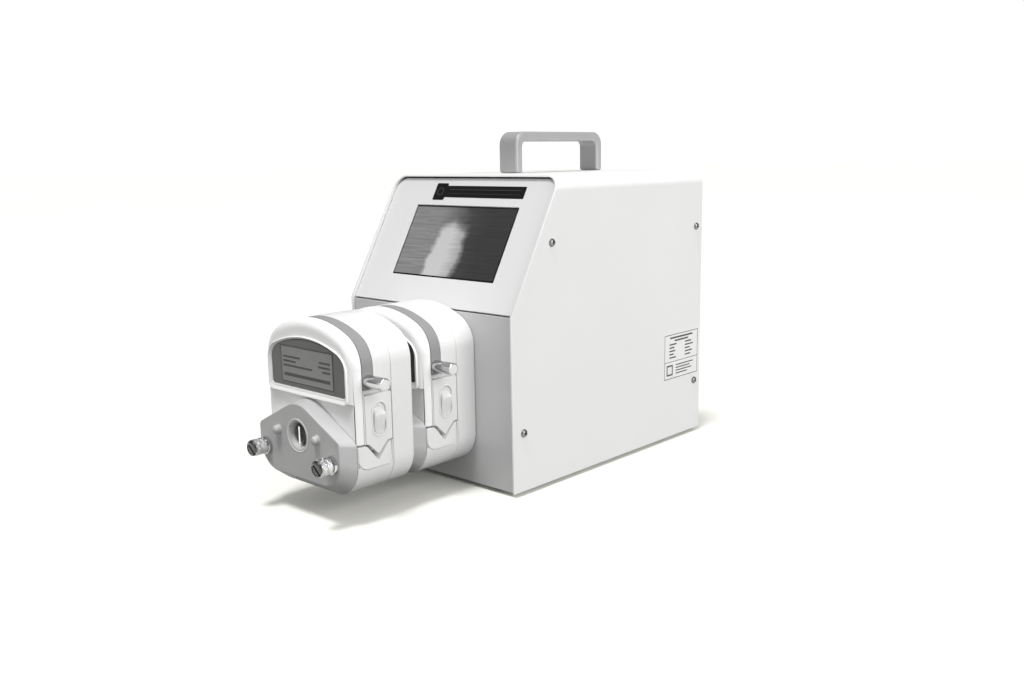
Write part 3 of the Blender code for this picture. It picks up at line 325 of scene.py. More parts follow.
def rounded(corners, steps=8):
    """A closed outline with each corner (x, y, radius) rounded."""
    points = []
    for i, (x, y, radius) in enumerate(corners):
        if radius <= 0:
            points.append((x, y))
            continue
        here = Vector((x, y))
        to_a = (Vector(corners[i - 1][:2]) - here).normalized()
        to_b = (Vector(corners[(i + 1) % len(corners)][:2]) - here).normalized()
        half = math.acos(max(-1.0, min(1.0, to_a.dot(to_b)))) / 2
        centre = here + (to_a + to_b).normalized() * radius / math.sin(half)
        first = here + to_a * radius / math.tan(half) - centre
        last = here + to_b * radius / math.tan(half) - centre
        start = math.atan2(first.y, first.x)
        turn = (math.atan2(last.y, last.x) - start + math.pi) % (2 * math.pi) - math.pi
        for k in range(steps + 1):
            angle = start + turn * k / steps
            points.append((centre.x + radius * math.cos(angle),
                           centre.y + radius * math.sin(angle)))
    return points


def rectangle(x0, y0, x1, y1, radius=0.0, steps=6):
    return rounded([(x0, y0, radius), (x1, y0, radius), (x1, y1, radius), (x0, y1, radius)],
                   steps)


def dome(half, top, shoulder, crown, fine=1):
    cx = half - shoulder
    low = top - crown
    cy = low + math.sqrt((crown - shoulder) ** 2 - cx ** 2)
    turn = math.degrees(math.atan2(cy - low, cx))
    right = arc(cx, cy, shoulder, 0.0, turn, 14 * fine)
    over = arc(0.0, low, crown, turn, 180.0 - turn, 28 * fine)
    left = arc(-cx, cy, shoulder, 180.0 - turn, 180.0, 14 * fine)
    return right + over[1:-1] + left


def head_dome(inset=0.0):
    return dome(HALF - inset, TOP - inset, SHOULDER - inset, CROWN - inset)


def head_foot():
    cx, cy = HALF - HEEL, BOTTOM + HEEL
    left = arc(-cx, cy, HEEL, 180.0, 270.0, 16)
    return left + arc(cx, cy, HEEL, 270.0, 360.0, 16)


def rim_radius(angle):
    """Distance from the lever's pivot to the head's outline."""
    dx, dy = math.cos(math.radians(angle)), math.sin(math.radians(angle))
    outline = [(HALF, 0.0)] + head_dome() + [(-HALF, 0.0)]
    for (ax, ay), (bx, by) in zip(outline, outline[1:]):
        ax, ay, ex, ey = ax, ay - PIVOT_Y, bx - ax, by - ay
        cross = dx * ey - dy * ex
        if abs(cross) < 1e-12:
            continue
        along = (ax * ey - ay * ex) / cross
        part = (ax * dy - ay * dx) / cross
        if along > 0 and -1e-9 <= part <= 1 + 1e-9:
            return along
    return HALF


# ------------------------------------------------------------------ mesh building

def prism(outline, low, high, plane="xy"):
    """A closed outline drawn out. Plane "xy" draws along z, plane "yz" along x."""
    bm = bmesh.new()

    def corner(a, b, c):
        return bm.verts.new((a, b, c) if plane == "xy" else (c, a, b))

    first = [corner(a, b, low) for a, b in outline]
    second = [corner(a, b, high) for a, b in outline]
    return skin(bm, [first, second])


def loft(rings):
    """Closed rings of points, all with the same count, joined and capped at both ends."""
    bm = bmesh.new()
    made = [[bm.verts.new(point) for point in ring] for ring in rings]
    return skin(bm, made)


def skin(bm, rings, closed=False):
    """Faces between neighbouring rings. The end rings are capped, unless the tube is closed."""
    for ring, after in zip(rings, rings[1:]):
        for i in range(len(ring)):
            j = (i + 1) % len(ring)
            bm.faces.new((ring[i], ring[j], after[j], after[i]))
    if not closed:
        bm.faces.new(rings[0])
        bm.faces.new(rings[-1])
    bmesh.ops.recalc_face_normals(bm, faces=bm.faces)
    return bm


def lathe(profile, steps=64, x=0.0, y=0.0):
    """A profile of (radius, z) points turned about z. Points at radius 0 close it."""
    bm = bmesh.new()
    rings = []
    for radius, z in profile:
        if radius < 1e-6:
            rings.append([bm.verts.new((x, y, z))])
        else:
            rings.append([bm.verts.new((px, py, z)) for px, py in circle(x, y, radius, steps)])
    for ring, after in zip(rings, rings[1:]):
        for i in range(steps):
            j = (i + 1) % steps
            if len(ring) == 1:
                bm.faces.new((ring[0], after[j], after[i]))
            elif len(after) == 1:
                bm.faces.new((ring[i], ring[j], after[0]))
            else:
                bm.faces.new((ring[i], ring[j], after[j], after[i]))
    bmesh.ops.recalc_face_normals(bm, faces=bm.faces)
    return bm


def block(low, high):
    return prism([(low[0], low[1]), (high[0], low[1]), (high[0], high[1]), (low[0], high[1])],
                 low[2], high[2])


def several(*meshes):
    """Several closed meshes in one."""
    out = bmesh.new()
    for bm in meshes:
        copy = bpy.data.meshes.new("part")
        bm.to_mesh(copy)
        bm.free()
        out.from_mesh(copy)
        bpy.data.meshes.remove(copy)
    return out


def solid(name, bm, matrix, material=None):
    """An object from a bmesh in millimetres. Its mesh is in world metres."""
    bm.transform(matrix)
    mesh = bpy.data.meshes.new(name)
    bm.to_mesh(mesh)
    bm.free()
    obj = bpy.data.objects.new(name, mesh)
    SCENE.collection.objects.link(obj)
    if material is not None:
        mesh.materials.append(material)
    return obj


def bake(obj):
    depsgraph = bpy.context.evaluated_depsgraph_get()
    mesh = bpy.data.meshes.new_from_object(obj.evaluated_get(depsgraph))
    old = obj.data
    obj.modifiers.clear()
    obj.data = mesh
    bpy.data.meshes.remove(old)


def carve(obj, matrix, cuts=(), joins=()):
    """Cuts meshes out of an object, then joins others to it."""
    tools = []
    for operation, group in (("DIFFERENCE", cuts), ("UNION", joins)):
        for bm in group:
            tool = solid("tool", bm, matrix)
            step = obj.modifiers.new("step", "BOOLEAN")
            step.operation = operation
            step.solver = "EXACT"
            step.object = tool
            tools.append(tool)
    bake(obj)
    for tool in tools:
        mesh = tool.data
        bpy.data.objects.remove(tool)
        bpy.data.meshes.remove(mesh)
    return obj


def tidy(obj, merge_faces=True):
    bm = bmesh.new()
    bm.from_mesh(obj.data)
    bmesh.ops.remove_doubles(bm, verts=bm.verts, dist=2e-6)
    if merge_faces:
        bmesh.ops.dissolve_limit(bm, angle_limit=math.radians(0.4), verts=bm.verts,
                                 edges=bm.edges)
    bm.to_mesh(obj.data)
    bm.free()


def finish(obj, body, slot, *nodes, edge=0.4, segments=3, angle=32.0, merge_faces=True):
    """Softens the edges, shades the piece, and ties it to its body and its CAD nodes."""
    tidy(obj, merge_faces)
    obj.data.shade_smooth()
    if edge:
        bevel = obj.modifiers.new("edges", "BEVEL")
        bevel.width = edge / 1000
        bevel.segments = segments
        bevel.limit_method = "ANGLE"
        bevel.angle_limit = math.radians(angle)
        bevel.use_clamp_overlap = False
        bevel.harden_normals = True
        bevel.miter_outer = "MITER_ARC"
    else:
        obj.data.set_sharp_from_angle(angle=math.radians(35.0))
    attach(obj, body)
    if nodes:
        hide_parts(*nodes)
    return obj


def refined(node, name, body, slot, material, edge, segments):
    """A copy of a CAD node's mesh with softened edges and a finish."""
    mesh = NODES[node].data.copy()
    mesh.materials.clear()
    mesh.materials.append(material)
    for layer in ("custom_normal", "sharp_edge", "sharp_face"):
        if layer in mesh.attributes:
            mesh.attributes.remove(mesh.attributes[layer])
    obj = bpy.data.objects.new(name, mesh)
    SCENE.collection.objects.link(obj)
    return finish(obj, body, slot, node, edge=edge, segments=segments, merge_faces=False)


def recolour(node, material):
    """A CAD node that stays: it gets a finish on its own slots."""
    obj = NODES[node]
    for item in obj.material_slots:
        item.material = material
    if not obj.material_slots:
        obj.data.materials.append(material)


ROOT = "pump_body"


# ------------------------------------------------------------------ casing

def build_cover():
    half, top = CASE_WIDTH / 2, CASE_HEIGHT
    cx, cy = half - TOP_RADIUS, top - TOP_RADIUS
    outer = [(half, 0.0)] + arc(cx, cy, TOP_RADIUS, 0, 90, 14)
    outer += arc(-cx, cy, TOP_RADIUS, 90, 180, 14) + [(-half, 0.0)]
    small = TOP_RADIUS - COVER_SHEET
    inner = [(-half + COVER_SHEET, 0.0)] + arc(-cx, cy, small, 180, 90, 14)
    inner += arc(cx, cy, small, 90, 0, 14) + [(half - COVER_SHEET, 0.0)]
    bm = prism([(x, -z) for x, z in outer + inner], 0.0, CASE_DEPTH)
    bm.transform(Matrix.Rotation(-math.pi / 2, 4, "X"))
    cover = solid("cover", bm, CASE, PAINT)
    wedge = [(0.0, KNEE), (SETBACK, top), (SETBACK + 20.0, top + 60.0), (-80.0, top + 60.0),
             (-80.0, KNEE)]
    carve(cover, CASE, cuts=[prism(wedge, -120.0, 120.0, "yz")])
    finish(cover, ROOT, "white_paint", "cover_shell", edge=0.55, segments=3)


def build_panels():
    inner, head = INNER_HALF, HEADS["rear"]
    panel = solid("lower_front_panel", prism(rectangle(-inner, 0.3, inner, 131.8), -2.3, -0.3),
                  head, GREY)
    shaft_hole = prism(circle(0.0, AXIS_Y, 10.0), -5.0, 2.0)
    carve(panel, head, cuts=[shaft_hole] + rods(-5.0, 2.0, 24))
    finish(panel, ROOT, "grey_panel", "front_panel", edge=0.35)

    back, face = -RECESS - PANEL_SHEET, -RECESS
    high = SLOPE_LENGTH - 1.9
    outline = rounded([(-inner, 1.6, 0.0), (inner, 1.6, 0.0), (inner, high, 11.0),
                       (-inner, high, 11.0)], 12)
    upper = solid("control_panel_face", prism(outline, back, face), SLOPE, PANEL_PAINT)
    flanges = [block((side * (inner - 0.75) - 0.75, 45.0, back - 18.0),
                     (side * (inner - 0.75) + 0.75, 86.0, back + 0.5)) for side in (-1, 1)]
    gap, reach = 0.3, SCREEN_HALF + 0.3
    window = prism(rectangle(SCREEN_X - reach, SCREEN_LOW - gap, SCREEN_X + reach,
                             SCREEN_HIGH + gap, 0.6, 3), back - 1, face + 1)
    carve(upper, SLOPE, cuts=[window], joins=flanges)
    finish(upper, ROOT, "white_paint", "control_panel", edge=0.45)


def build_display():
    back = -RECESS - PANEL_SHEET - 0.3
    rear = solid("display_module", block((-61.0, 19.0, back - 8.0), (66.0, 93.0, back)), SLOPE,
                 BLACK)
    finish(rear, ROOT, "black_plastic", edge=0.5)
    x0, x1, y0, y1 = SCREEN_X - SCREEN_HALF, SCREEN_X + SCREEN_HALF, SCREEN_LOW, SCREEN_HIGH
    face = -RECESS - 0.4
    bezel = solid("display_bezel", prism(rectangle(x0, y0, x1, y1, 0.5, 3), back, face - 0.25),
                  SLOPE, STRIP)
    finish(bezel, ROOT, "screen", edge=0.2)
    outline = rectangle(x0 + 1.1, y0 + 1.1, x1 - 1.1, y1 - 1.1, 0.6, 3)
    glass = solid("touch_screen_glass", prism(outline, face - 0.5, face), SLOPE, SCREEN)
    layer = glass.data.uv_layers.new(name="UVMap")
    to_local = SLOPE.inverted()
    for loop in glass.data.loops:
        spot = to_local @ glass.data.vertices[loop.vertex_index].co
        layer.data[loop.index].uv = ((spot.x - x0) / (x1 - x0), (spot.y - y0) / (y1 - y0))
    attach(glass, ROOT)
    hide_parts("touch_screen")


def build_strip():
    """A plain dark strip above the display, with a plain tile at its left end."""
    low = -RECESS
    outline = rounded([(-39.0, 92.0, 1.0), (-26.0, 92.0, 1.0), (-26.0, 94.5, 0.6),
                       (60.0, 94.5, 0.8), (60.0, 104.8, 0.8), (-26.0, 104.8, 0.6),
                       (-26.0, 107.0, 1.0), (-39.0, 107.0, 1.0)], 4)
    strip = solid("plain_strip", prism(outline, low, low + 0.25), SLOPE, STRIP)
    finish(strip, ROOT, "screen", edge=0.08, segments=2)
    ring = prism(circle(-32.5, 99.5, 3.6, 40), low + 0.2, low + 0.32)
    hole = prism(circle(-32.5, 99.5, 2.6, 40), low, low + 1.0)
    mark = solid("plain_strip_ring", ring, SLOPE, STRIP_MARK)
    carve(mark, SLOPE, cuts=[hole])
    finish(mark, ROOT, "aluminium", edge=0.0)
    lines = [block((-22.0, 101.0, low + 0.2), (56.0, 101.7, low + 0.3)),
             block((-22.0, 97.6, low + 0.2), (56.0, 98.0, low + 0.3))]
    bars = solid("plain_strip_lines", several(*lines), SLOPE, STRIP_MARK)
    finish(bars, ROOT, "aluminium", edge=0.0)


def build_handle():
    low, rise, thick = 0.3, 33.7, 8.0
    front, back = 96.9, 210.7
    corners = [(front, low, 0.0), (front, rise, 11.0), (back, rise, 11.0), (back, low, 0.0),
               (back - thick, low, 0.0), (back - thick, rise - thick, 5.0),
               (front + thick, rise - thick, 5.0), (front + thick, low, 0.0)]
    outline = [(y, z + CASE_HEIGHT) for y, z in rounded(corners, 14)]
    handle = solid("carry_handle_bar", prism(outline, -10.0, 10.0, "yz"), CASE, HANDLE)
    finish(handle, ROOT, "handle_satin", "carry_handle", edge=2.0, segments=6, angle=50.0)


def screw_head():
    """Pan-head screw along +z with a cross recess and a thin washer."""
    profile = [(0.0, 2.15), (0.9, 2.12), (1.7, 1.98), (2.3, 1.68), (2.75, 1.2), (2.95, 0.75),
               (2.95, 0.55), (3.1, 0.5), (3.1, 0.05), (2.0, 0.0), (1.45, 0.0), (1.45, -7.0),
               (0.0, -7.0)]
    return lathe(profile, 40)


def cross_recess():
    arms = []
    for turn in (0.0, 90.0):
        wide = [(-2.0, -0.5), (2.0, -0.5), (2.0, 0.5), (-2.0, 0.5)]
        narrow = [(-1.0, -0.4), (1.0, -0.4), (1.0, 0.4), (-1.0, 0.4)]
        bm = loft([[(x, y, 2.6) for x, y in wide], [(x, y, 0.7) for x, y in narrow]])
        bm.transform(Matrix.Rotation(math.radians(turn + 45.0), 4, "Z"))
        arms.append(bm)
    return arms


def build_side_screws():
    places = ((45.0, 183.0), (240.0, 183.0), (11.5, 45.0), (240.0, 45.0))
    pattern = solid("screw_pattern", screw_head(), Matrix.Identity(4), SCREW_STEEL_PAINTED_SHADE)
    carve(pattern, Matrix.Identity(4), cuts=cross_recess())
    for side, word in SIDES:
        for i, (y, z) in enumerate(places, start=1):
            mesh = pattern.data.copy()
            turn = Matrix.Rotation(side * math.pi / 2, 4, "Y")
            spin = Matrix.Rotation(math.radians(31.0 * i), 4, "Z")
            spot = Matrix.Translation((side * CASE_WIDTH / 2, y, z))
            mesh.transform(CASE @ spot @ turn @ spin)
            screw = bpy.data.objects.new(f"side_screw_{word}_{i}_head", mesh)
            SCENE.collection.objects.link(screw)
            finish(screw, ROOT, "chrome", f"side_screw_{word}_{i}", edge=0.0)
    bpy.data.objects.remove(pattern)


def build_feet():
    for i in range(1, 5):
        low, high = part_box(f"foot_{i}")
        centre = (low + high) / 2
        radius = (high.x - low.x) * 500
        top, bottom = (high.z - centre.z) * 1000, (low.z - centre.z) * 1000
        profile = [(0.0, top), (radius, top), (radius, bottom + 0.9), (radius - 0.3, bottom + 0.3),
                   (radius - 1.0, bottom), (radius - 3.0, bottom), (radius - 3.4, bottom + 0.4),
                   (0.0, bottom + 0.4)]
        foot = solid(f"foot_{i}_rubber", lathe(profile, 48), frame_at(*centre), RUBBER)
        finish(foot, ROOT, "rubber", f"foot_{i}", edge=0.0)


def label_bars(name, bars, matrix, body):
    """Printed bars, each (x0, y0, x1, y1), a hair thick."""
    meshes = [block((x0, y0, 0.0), (x1, y1, 0.03)) for x0, y0, x1, y1 in bars]
    obj = solid(name, several(*meshes), matrix, INK)
    finish(obj, body, "black_plastic", edge=0.0)


def frame_bars(x0, y0, x1, y1, width):
    return [(x0, y0, x1, y0 + width), (x0, y1 - width, x1, y1),
            (x0, y0 + width, x0 + width, y1 - width), (x1 - width, y0 + width, x1, y1 - width)]


def build_side_label():
    """Plain label on the right side: a border, rows of plain bars and an empty square."""
    turn = Matrix.Rotation(math.pi / 2, 4, "Z") @ Matrix.Rotation(math.pi / 2, 4, "X")
    spot = CASE_LOW.y + 0.193
    base = frame_at(CASE_HIGH.x, spot, CASE_LOW.z + 0.0515, turn)
    plate = solid("side_label", prism(rectangle(0.0, 0.0, 53.0, 40.5, 0.8, 4), 0.0, 0.12), base,
                  SIDE_LABEL)
    finish(plate, ROOT, "white_paint", edge=0.0)
    ink = frame_at(CASE_HIGH.x + 0.00011, spot, CASE_LOW.z + 0.0515, turn)
    bars = frame_bars(0.6, 0.6, 52.4, 39.9, 0.6)
    bars += [(9.0, 36.0, 44.0, 37.5), (16.0, 33.3, 37.0, 34.7), (1.0, 15.5, 52.0, 16.0)]
    for row in range(5):
        y = 30.4 - row * 2.9
        wide = (11.0, 7.5, 9.0, 6.5, 10.0)[row]
        far = (10.0, 13.0, 8.0, 11.5, 9.0)[row]
        bars += [(8.0, y, 8.0 + wide, y + 1.2), (32.0, y, 32.0 + far, y + 1.2)]
    bars += frame_bars(4.0, 3.6, 13.4, 13.0, 1.4)
    for row in range(4):
        y = 11.6 - row * 2.5
        bars.append((18.0, y, 18.0 + (27.0, 22.0, 25.0, 18.0)[row], y + 1.0))
    label_bars("side_label_print", bars, ink, ROOT)


# ------------------------------------------------------------------ rear and inside

def build_rear_and_inside():
    for node, name, body, slot, material, edge in (
            ("rear_panel", "rear_panel_sheet", ROOT, "white_paint", PANEL_PAINT, 0.0),
            ("power_inlet", "mains_inlet", ROOT, "black_plastic", BLACK, 0.35),
            ("power_switch", "rocker_switch", "power_switch", "black_plastic", BLACK, 0.6),
            ("fan_frame", "fan_housing", ROOT, "black_plastic", BLACK, 0.35),
            ("fan_rotor", "fan_impeller", "fan_rotor", "black_plastic", BLACK, 0.3),
            ("base_pan", "base_tray", ROOT, "steel", SHEET, 0.3),
            ("motor_plate", "motor_bracket", ROOT, "aluminium", ALUMINIUM, 0.5),
            ("motor", "stepper_motor", ROOT, "motor_black", MOTOR, 0.6),
            ("power_supply", "supply_case", ROOT, "aluminium", SHEET, 0.5),
            ("control_board", "display_board", ROOT, "board_green", BOARD, 0.2)):
        segments = 3 if node == "power_switch" else 2
        refined(node, name, body, slot, material, edge, segments)
    recolour("drive_shaft", STEEL)


# ------------------------------------------------------------------ pump heads

def notch_side(grow=0.0):
    """One flank of the tube notch, from its tip outward: (z, y) with a flared top."""
    tip = 42.0 - grow * 1.3
    flank = [(0.0, tip), (7.4 + grow, 51.6)]
    flare = arc(11.6 + grow, 49.3, 4.4, 146.0, 90.0, 7)
    return flank + flare


def notch_outline(grow=0.0):
    """The tube notch as (y, z) points, open at the top."""
    side = notch_side(grow)
    top = SPLIT + 4.0
    front = [(y, NOTCH_Z + z) for z, y in side]
    back = [(y, NOTCH_Z - z) for z, y in reversed(side[1:])]
    return front + [(top, NOTCH_Z + side[-1][0]), (top, NOTCH_Z - side[-1][0])] + back


def notch_cut():
    return prism(notch_outline(), -60.0, 60.0, "yz")


def notch_chamfer(side):
    """A cutter that opens the notch's outer edge."""
    inner = [(side * 49.2, y, z) for y, z in notch_outline()]
    outer = [(side * 50.9, y, z) for y, z in notch_outline(1.3)]
    return loft([inner, outer])


def rods(low, high, steps=32):
    """Cutters for the two thumb-screw holes."""
    return [prism(circle(side * ROD_X, ROD_Y, ROD_HOLE, steps), low, high) for side in (-1, 1)]


def seat_limits(grow=0.0):
    """Floor height, back and front of a tube seat."""
    return 37.0 - grow, 20.3 - grow, 49.5 + grow


def build_back_housing(which, head):
    body = solid(f"{which}_housing", prism(head_foot() + head_dome(), 0.0, BACK_END), head,
                 PLASTIC)
    cuts = [prism(circle(0.0, AXIS_Y, 8.0), -1.0, 20.0)]
    cuts += [prism(circle(side * PIN_X, PIN_Y, 3.6, 32), -1.0, 6.0) for side in (-1, 1)]
    cuts += [block((side * 41.0 - 3.0, 62.0, BACK_END - 3.2), (side * 41.0 + 3.0, 105.0, 20.0))
             for side in (-1, 1)]
    carve(body, head, cuts=cuts + rods(-1.0, 20.0))
    finish(body, ROOT, "head_white", f"{which}_back_housing", edge=0.7, segments=4)


def build_lower_body(which, head):
    outline = head_foot() + [(HALF, SPLIT), (-HALF, SPLIT)]
    body = solid(f"{which}_lower_half", prism(outline, BODY_START, LOWER_FRONT), head, PLASTIC)
    cuts = [prism(circle(0.0, AXIS_Y, 34.5, 96), 15.0, 41.8),
            prism(circle(0.0, AXIS_Y, 9.0), 40.0, 66.0), notch_cut()]
    floor, low, high = seat_limits(0.3)
    pocket = rounded([(floor, low, 3.3), (floor, high, 8.3), (60.0, high, 0.0),
                      (60.0, low, 0.0)], 10)
    cuts += [prism(pocket, 42.2, 60.0, "yz"), prism(pocket, -60.0, -42.2, "yz")]
    carve(body, head, cuts=cuts + rods(15.0, 55.0))
    finish(body, ROOT, "head_white", f"{which}_lower_body", edge=0.45)


def build_tube_seats(which, head):
    floor, low, high = seat_limits()
    corners = [(floor, low, 3.0), (floor, high, 8.0), (SPLIT, high, 0.0), (SPLIT, low, 0.0)]
    outline = rounded(corners, 10)
    for side, word in SIDES:
        near, far = sorted((side * 42.5, side * 50.6))
        seat = solid(f"{which}_seat_{word}", prism(outline, near, far, "yz"), head, PLASTIC)
        carve(seat, head, cuts=[notch_cut(), notch_chamfer(side)])
        finish(seat, ROOT, "head_white", f"{which}_tube_seat_{word}", edge=0.3,
               merge_faces=False)


def build_nose(which, head):
    corners = [(0.0, 82.2, 25.0), (-46.5, 59.0, 4.0), (-46.5, 25.8, 20.0), (46.5, 25.8, 20.0),
               (46.5, 59.0, 4.0)]
    face = rounded(corners, 16)
    taper_x, taper_y, level = 0.916, 0.828, 68.2
    back = [(x / taper_x, level + (y - level) / taper_y) for x, y in face]
    rings = [[(x, y, LOWER_FRONT + 0.3) for x, y in back], [(x, y, NOSE_FRONT) for x, y in face]]
    # The nose plate takes the darker copy of the plastic: painted shade.
    nose = solid(f"{which}_nose", loft(rings), head, NOSE_PLASTIC_PAINTED_SHADE)
    bore = lathe([(0.0, 66.0), (12.4, 66.0), (8.7, 60.9), (8.7, 45.0), (0.0, 45.0)], 72, 0.0,
                 AXIS_Y)
    pins = [lathe([(0.0, 67.1), (1.2, 67.0), (2.2, 66.6), (2.9, 65.9), (3.1, 65.0), (3.1, 60.0),
                   (0.0, 60.0)], 40, side * PIN_X, PIN_Y) for side in (-1, 1)]
    carve(nose, head, cuts=[bore] + rods(45.0, 70.0), joins=pins)
    finish(nose, ROOT, "head_white", f"{which}_nose_plate", edge=0.8, segments=4, angle=25.0,
           merge_faces=False)
    ring = lathe([(8.6, 60.4), (11.1, 62.65), (11.5, 62.95), (11.9, 62.95), (12.1, 62.7),
                  (12.1, 62.0), (9.4, 58.5), (8.6, 58.5), (8.6, 60.4)], 96, 0.0, AXIS_Y)
    bush = solid(f"{which}_shaft_bush", ring, head, PLASTIC)
    finish(bush, ROOT, "head_white", edge=0.0)


def shaft_slot(low, high):
    corners = [(-9.5, 40.0, 0.0), (9.5, 40.0, 0.0), (9.5, 66.1, 9.4), (-9.5, 66.1, 9.4)]
    return prism(rounded(corners, 12), low, high)


def build_jaw(which, head):
    outline = head_dome() + [(-HALF, 54.3), (HALF, 54.3)]
    jaw = solid(f"{which}_jaw_block", prism(outline, BODY_START, JAW_FRONT), head, PLASTIC)
    floor, far = 91.8, 62.0
    edge = math.degrees(math.asin((floor - PIVOT_Y) / CORE))
    groove = [(far, floor)] + arc(0.0, PIVOT_Y, CORE, edge, 180.0 - edge, 72)
    groove += [(-far, floor), (-far, 150.0), (far, 150.0)]
    cuts = [prism(circle(0.0, AXIS_Y, 36.5, 120), 15.0, 41.8),
            prism(groove, GROOVE_BACK, JAW_FRONT + 2.0), shaft_slot(40.0, 46.0)]
    for side in (-1, 1):
        cuts += [block((side * 50.4 - 5.0, 52.0, 15.0), (side * 50.4 + 5.0, floor, 42.9)),
                 prism(circle(side * 43.5, 50.5, 11.0), 26.0, 38.0)]
    rails = [block((side * 41.0 - 2.6, 64.0, 16.0), (side * 41.0 + 2.6, 92.0, 20.5))
             for side in (-1, 1)]
    carve(jaw, head, cuts=cuts, joins=rails)
    finish(jaw, f"{which}_jaw", "head_white", f"{which}_jaw", edge=0.4)


def window_outline(side=0.0, above=None, below=None):
    """The window's arched outline, grown sideways, above and below."""
    above = side if above is None else above
    below = side if below is None else below
    half, bottom = 41.8 + side, 87.2 - below
    arch = dome(half, 122.8 + above, 10.5 + side, 92.0 + above)
    corner = 2.0 + side * 0.5
    foot = rounded([(-half, bottom, corner), (half, bottom, corner), (half, 100.0, 0.0),
                    (-half, 100.0, 0.0)], 6)[:14]
    return arch + foot


def window_frame_mesh():
    """Raised frame round the window: a slope rising outward, a round crest and a short wall."""
    steps = [(0.0, 0.0, 0.0, 49.9), (0.0, 0.0, 0.0, 51.3), (2.7, 1.4, 3.7, 53.4),
             (3.0, 1.7, 4.1, 53.6), (3.3, 2.0, 4.45, 53.6), (3.5, 2.25, 4.7, 53.4),
             (3.6, 2.4, 4.8, 53.1), (3.65, 2.5, 4.85, 49.9)]
    bm = bmesh.new()
    rings = [[bm.verts.new((x, y, z)) for x, y in window_outline(side, above, below)]
             for side, above, below, z in steps]
    return skin(bm, rings + rings[:1], closed=True)


def build_cap(which, head):
    radius = 7.0
    rings = []

    def ring(inset, z):
        inner = HALF - inset
        points = head_dome(inset) + [(-inner, 55.0), (inner, 55.0)]
        rings.append([(x, y, z) for x, y in points])

    ring(0.0, JAW_FRONT + 0.3)
    for i in range(13):
        angle = math.radians(90.0 * i / 12)
        ring(radius * (1 - math.cos(angle)), CAP_FRONT - radius + radius * math.sin(angle))
    # The cap and its window frame take the lighter copy of the plastic: painted light.
    cap = solid(f"{which}_hood", loft(rings), head, CAP_PLASTIC_PAINTED_LIGHT)
    cuts = [block((-70.0, 40.0, LOWER_FRONT), (70.0, 83.2, CAP_FRONT + 5.0)),
            prism(window_outline(0.3), CAP_FRONT - 2.2, CAP_FRONT + 5.0), shaft_slot(42.0, 54.0)]
    carve(cap, head, cuts=cuts)
    finish(cap, f"{which}_jaw", "head_white", f"{which}_cap", edge=0.6, segments=4)
    rim = solid(f"{which}_window_frame", window_frame_mesh(), head, CAP_PLASTIC_PAINTED_LIGHT)
    finish(rim, f"{which}_jaw", "head_white", edge=0.0)


def build_window(which, head):
    body = f"{which}_jaw"
    pane = solid(f"{which}_window", prism(window_outline(), CAP_FRONT - 1.9, CAP_FRONT - 0.4),
                 head, WINDOW)
    finish(pane, body, "window_dark", f"{which}_window_plate", edge=0.35)
    face = CAP_FRONT - 0.4
    turned = head @ Matrix.Translation((0.0, 0.0, face))
    base = solid(f"{which}_label_plate", prism(rectangle(-29.6, 90.6, 29.6, 116.2, 0.5, 3), 0.0,
                                               0.15), turned, LABEL)
    finish(base, body, "aluminium", edge=0.0)
    bars = frame_bars(-30.1, 90.1, 30.1, 116.7, 0.8)
    for row in range(3):
        y = 107.9 - row * 3.2
        bars += [(-27.5, y, -27.5 + (20.0, 15.0, 34.0)[row], y + 1.5),
                 (27.0 - (12.5, 13.5, 9.0)[row], y, 27.0, y + 1.5)]
    bars.append((-27.0, 94.6, 26.5, 97.0))
    print_frame = head @ Matrix.Translation((0.0, 0.0, face + 0.14))
    label_bars(f"{which}_label_print", bars, print_frame, body)


def build_lever(which, head):
    steps = 90
    outline = []
    for i in range(steps + 1):
        angle = -7.0 + 107.0 * i / steps
        outline.append(polar(rim_radius(angle), angle, 0.0, PIVOT_Y))
    outline += arc(0.0, PIVOT_Y, CORE + 0.3, 100.0, -7.0, 60)
    body = f"{which}_lever"
    low, high = GROOVE_BACK + 0.3, JAW_FRONT - 0.2
    strap = solid(f"{which}_lever_strap", prism(outline, low, high), head, STRAP)
    middle = (low + high) / 2
    finish(strap, body, "lever_grey", f"{which}_lever", edge=0.5)
    profile = [(0.0, 69.0), (3.3, 69.0), (3.4, 68.85), (3.55, 68.85), (3.65, 69.0), (4.0, 69.0),
               (4.3, 68.85), (4.5, 68.45), (4.5, 47.0), (0.0, 47.0)]
    pin = lathe(profile, 64)
    pin.transform(Matrix.Translation((0.0, PIVOT_Y, middle)) @ Matrix.Rotation(math.pi / 2, 4, "Y"))
    grip = solid(f"{which}_grip_pin", pin, head, CHROME)
    finish(grip, body, "chrome", edge=0.0)


def thumb_wedge(side):
    """A ramp that rises from the foot of the oval to a crest, with a hollow above it."""
    sections = [(59.8, 50.0, 2.2), (62.0, 50.6, 3.9), (65.0, 51.25, 4.6), (68.5, 52.0, 4.9),
                (71.5, 52.65, 5.0), (73.3, 52.95, 4.9), (74.2, 52.95, 4.7), (75.0, 52.5, 4.5),
                (75.8, 51.6, 4.2), (76.8, 50.7, 3.8), (78.2, 50.1, 3.3), (79.8, 49.75, 2.6)]
    rings = []
    for y, crest, half in sections:
        ring = [(side * 49.0, y, CLAMP_BUTTON_Z - half), (side * 49.0, y, CLAMP_BUTTON_Z + half)]
        for i in range(13):
            turn = math.pi * i / 12
            reach = half * math.cos(turn)
            drop = (1.0 - math.sin(turn) ** 0.5) * min(0.9, crest - 49.2)
            ring.append((side * (crest - drop), y, CLAMP_BUTTON_Z + reach))
        rings.append(ring)
    return loft(rings)


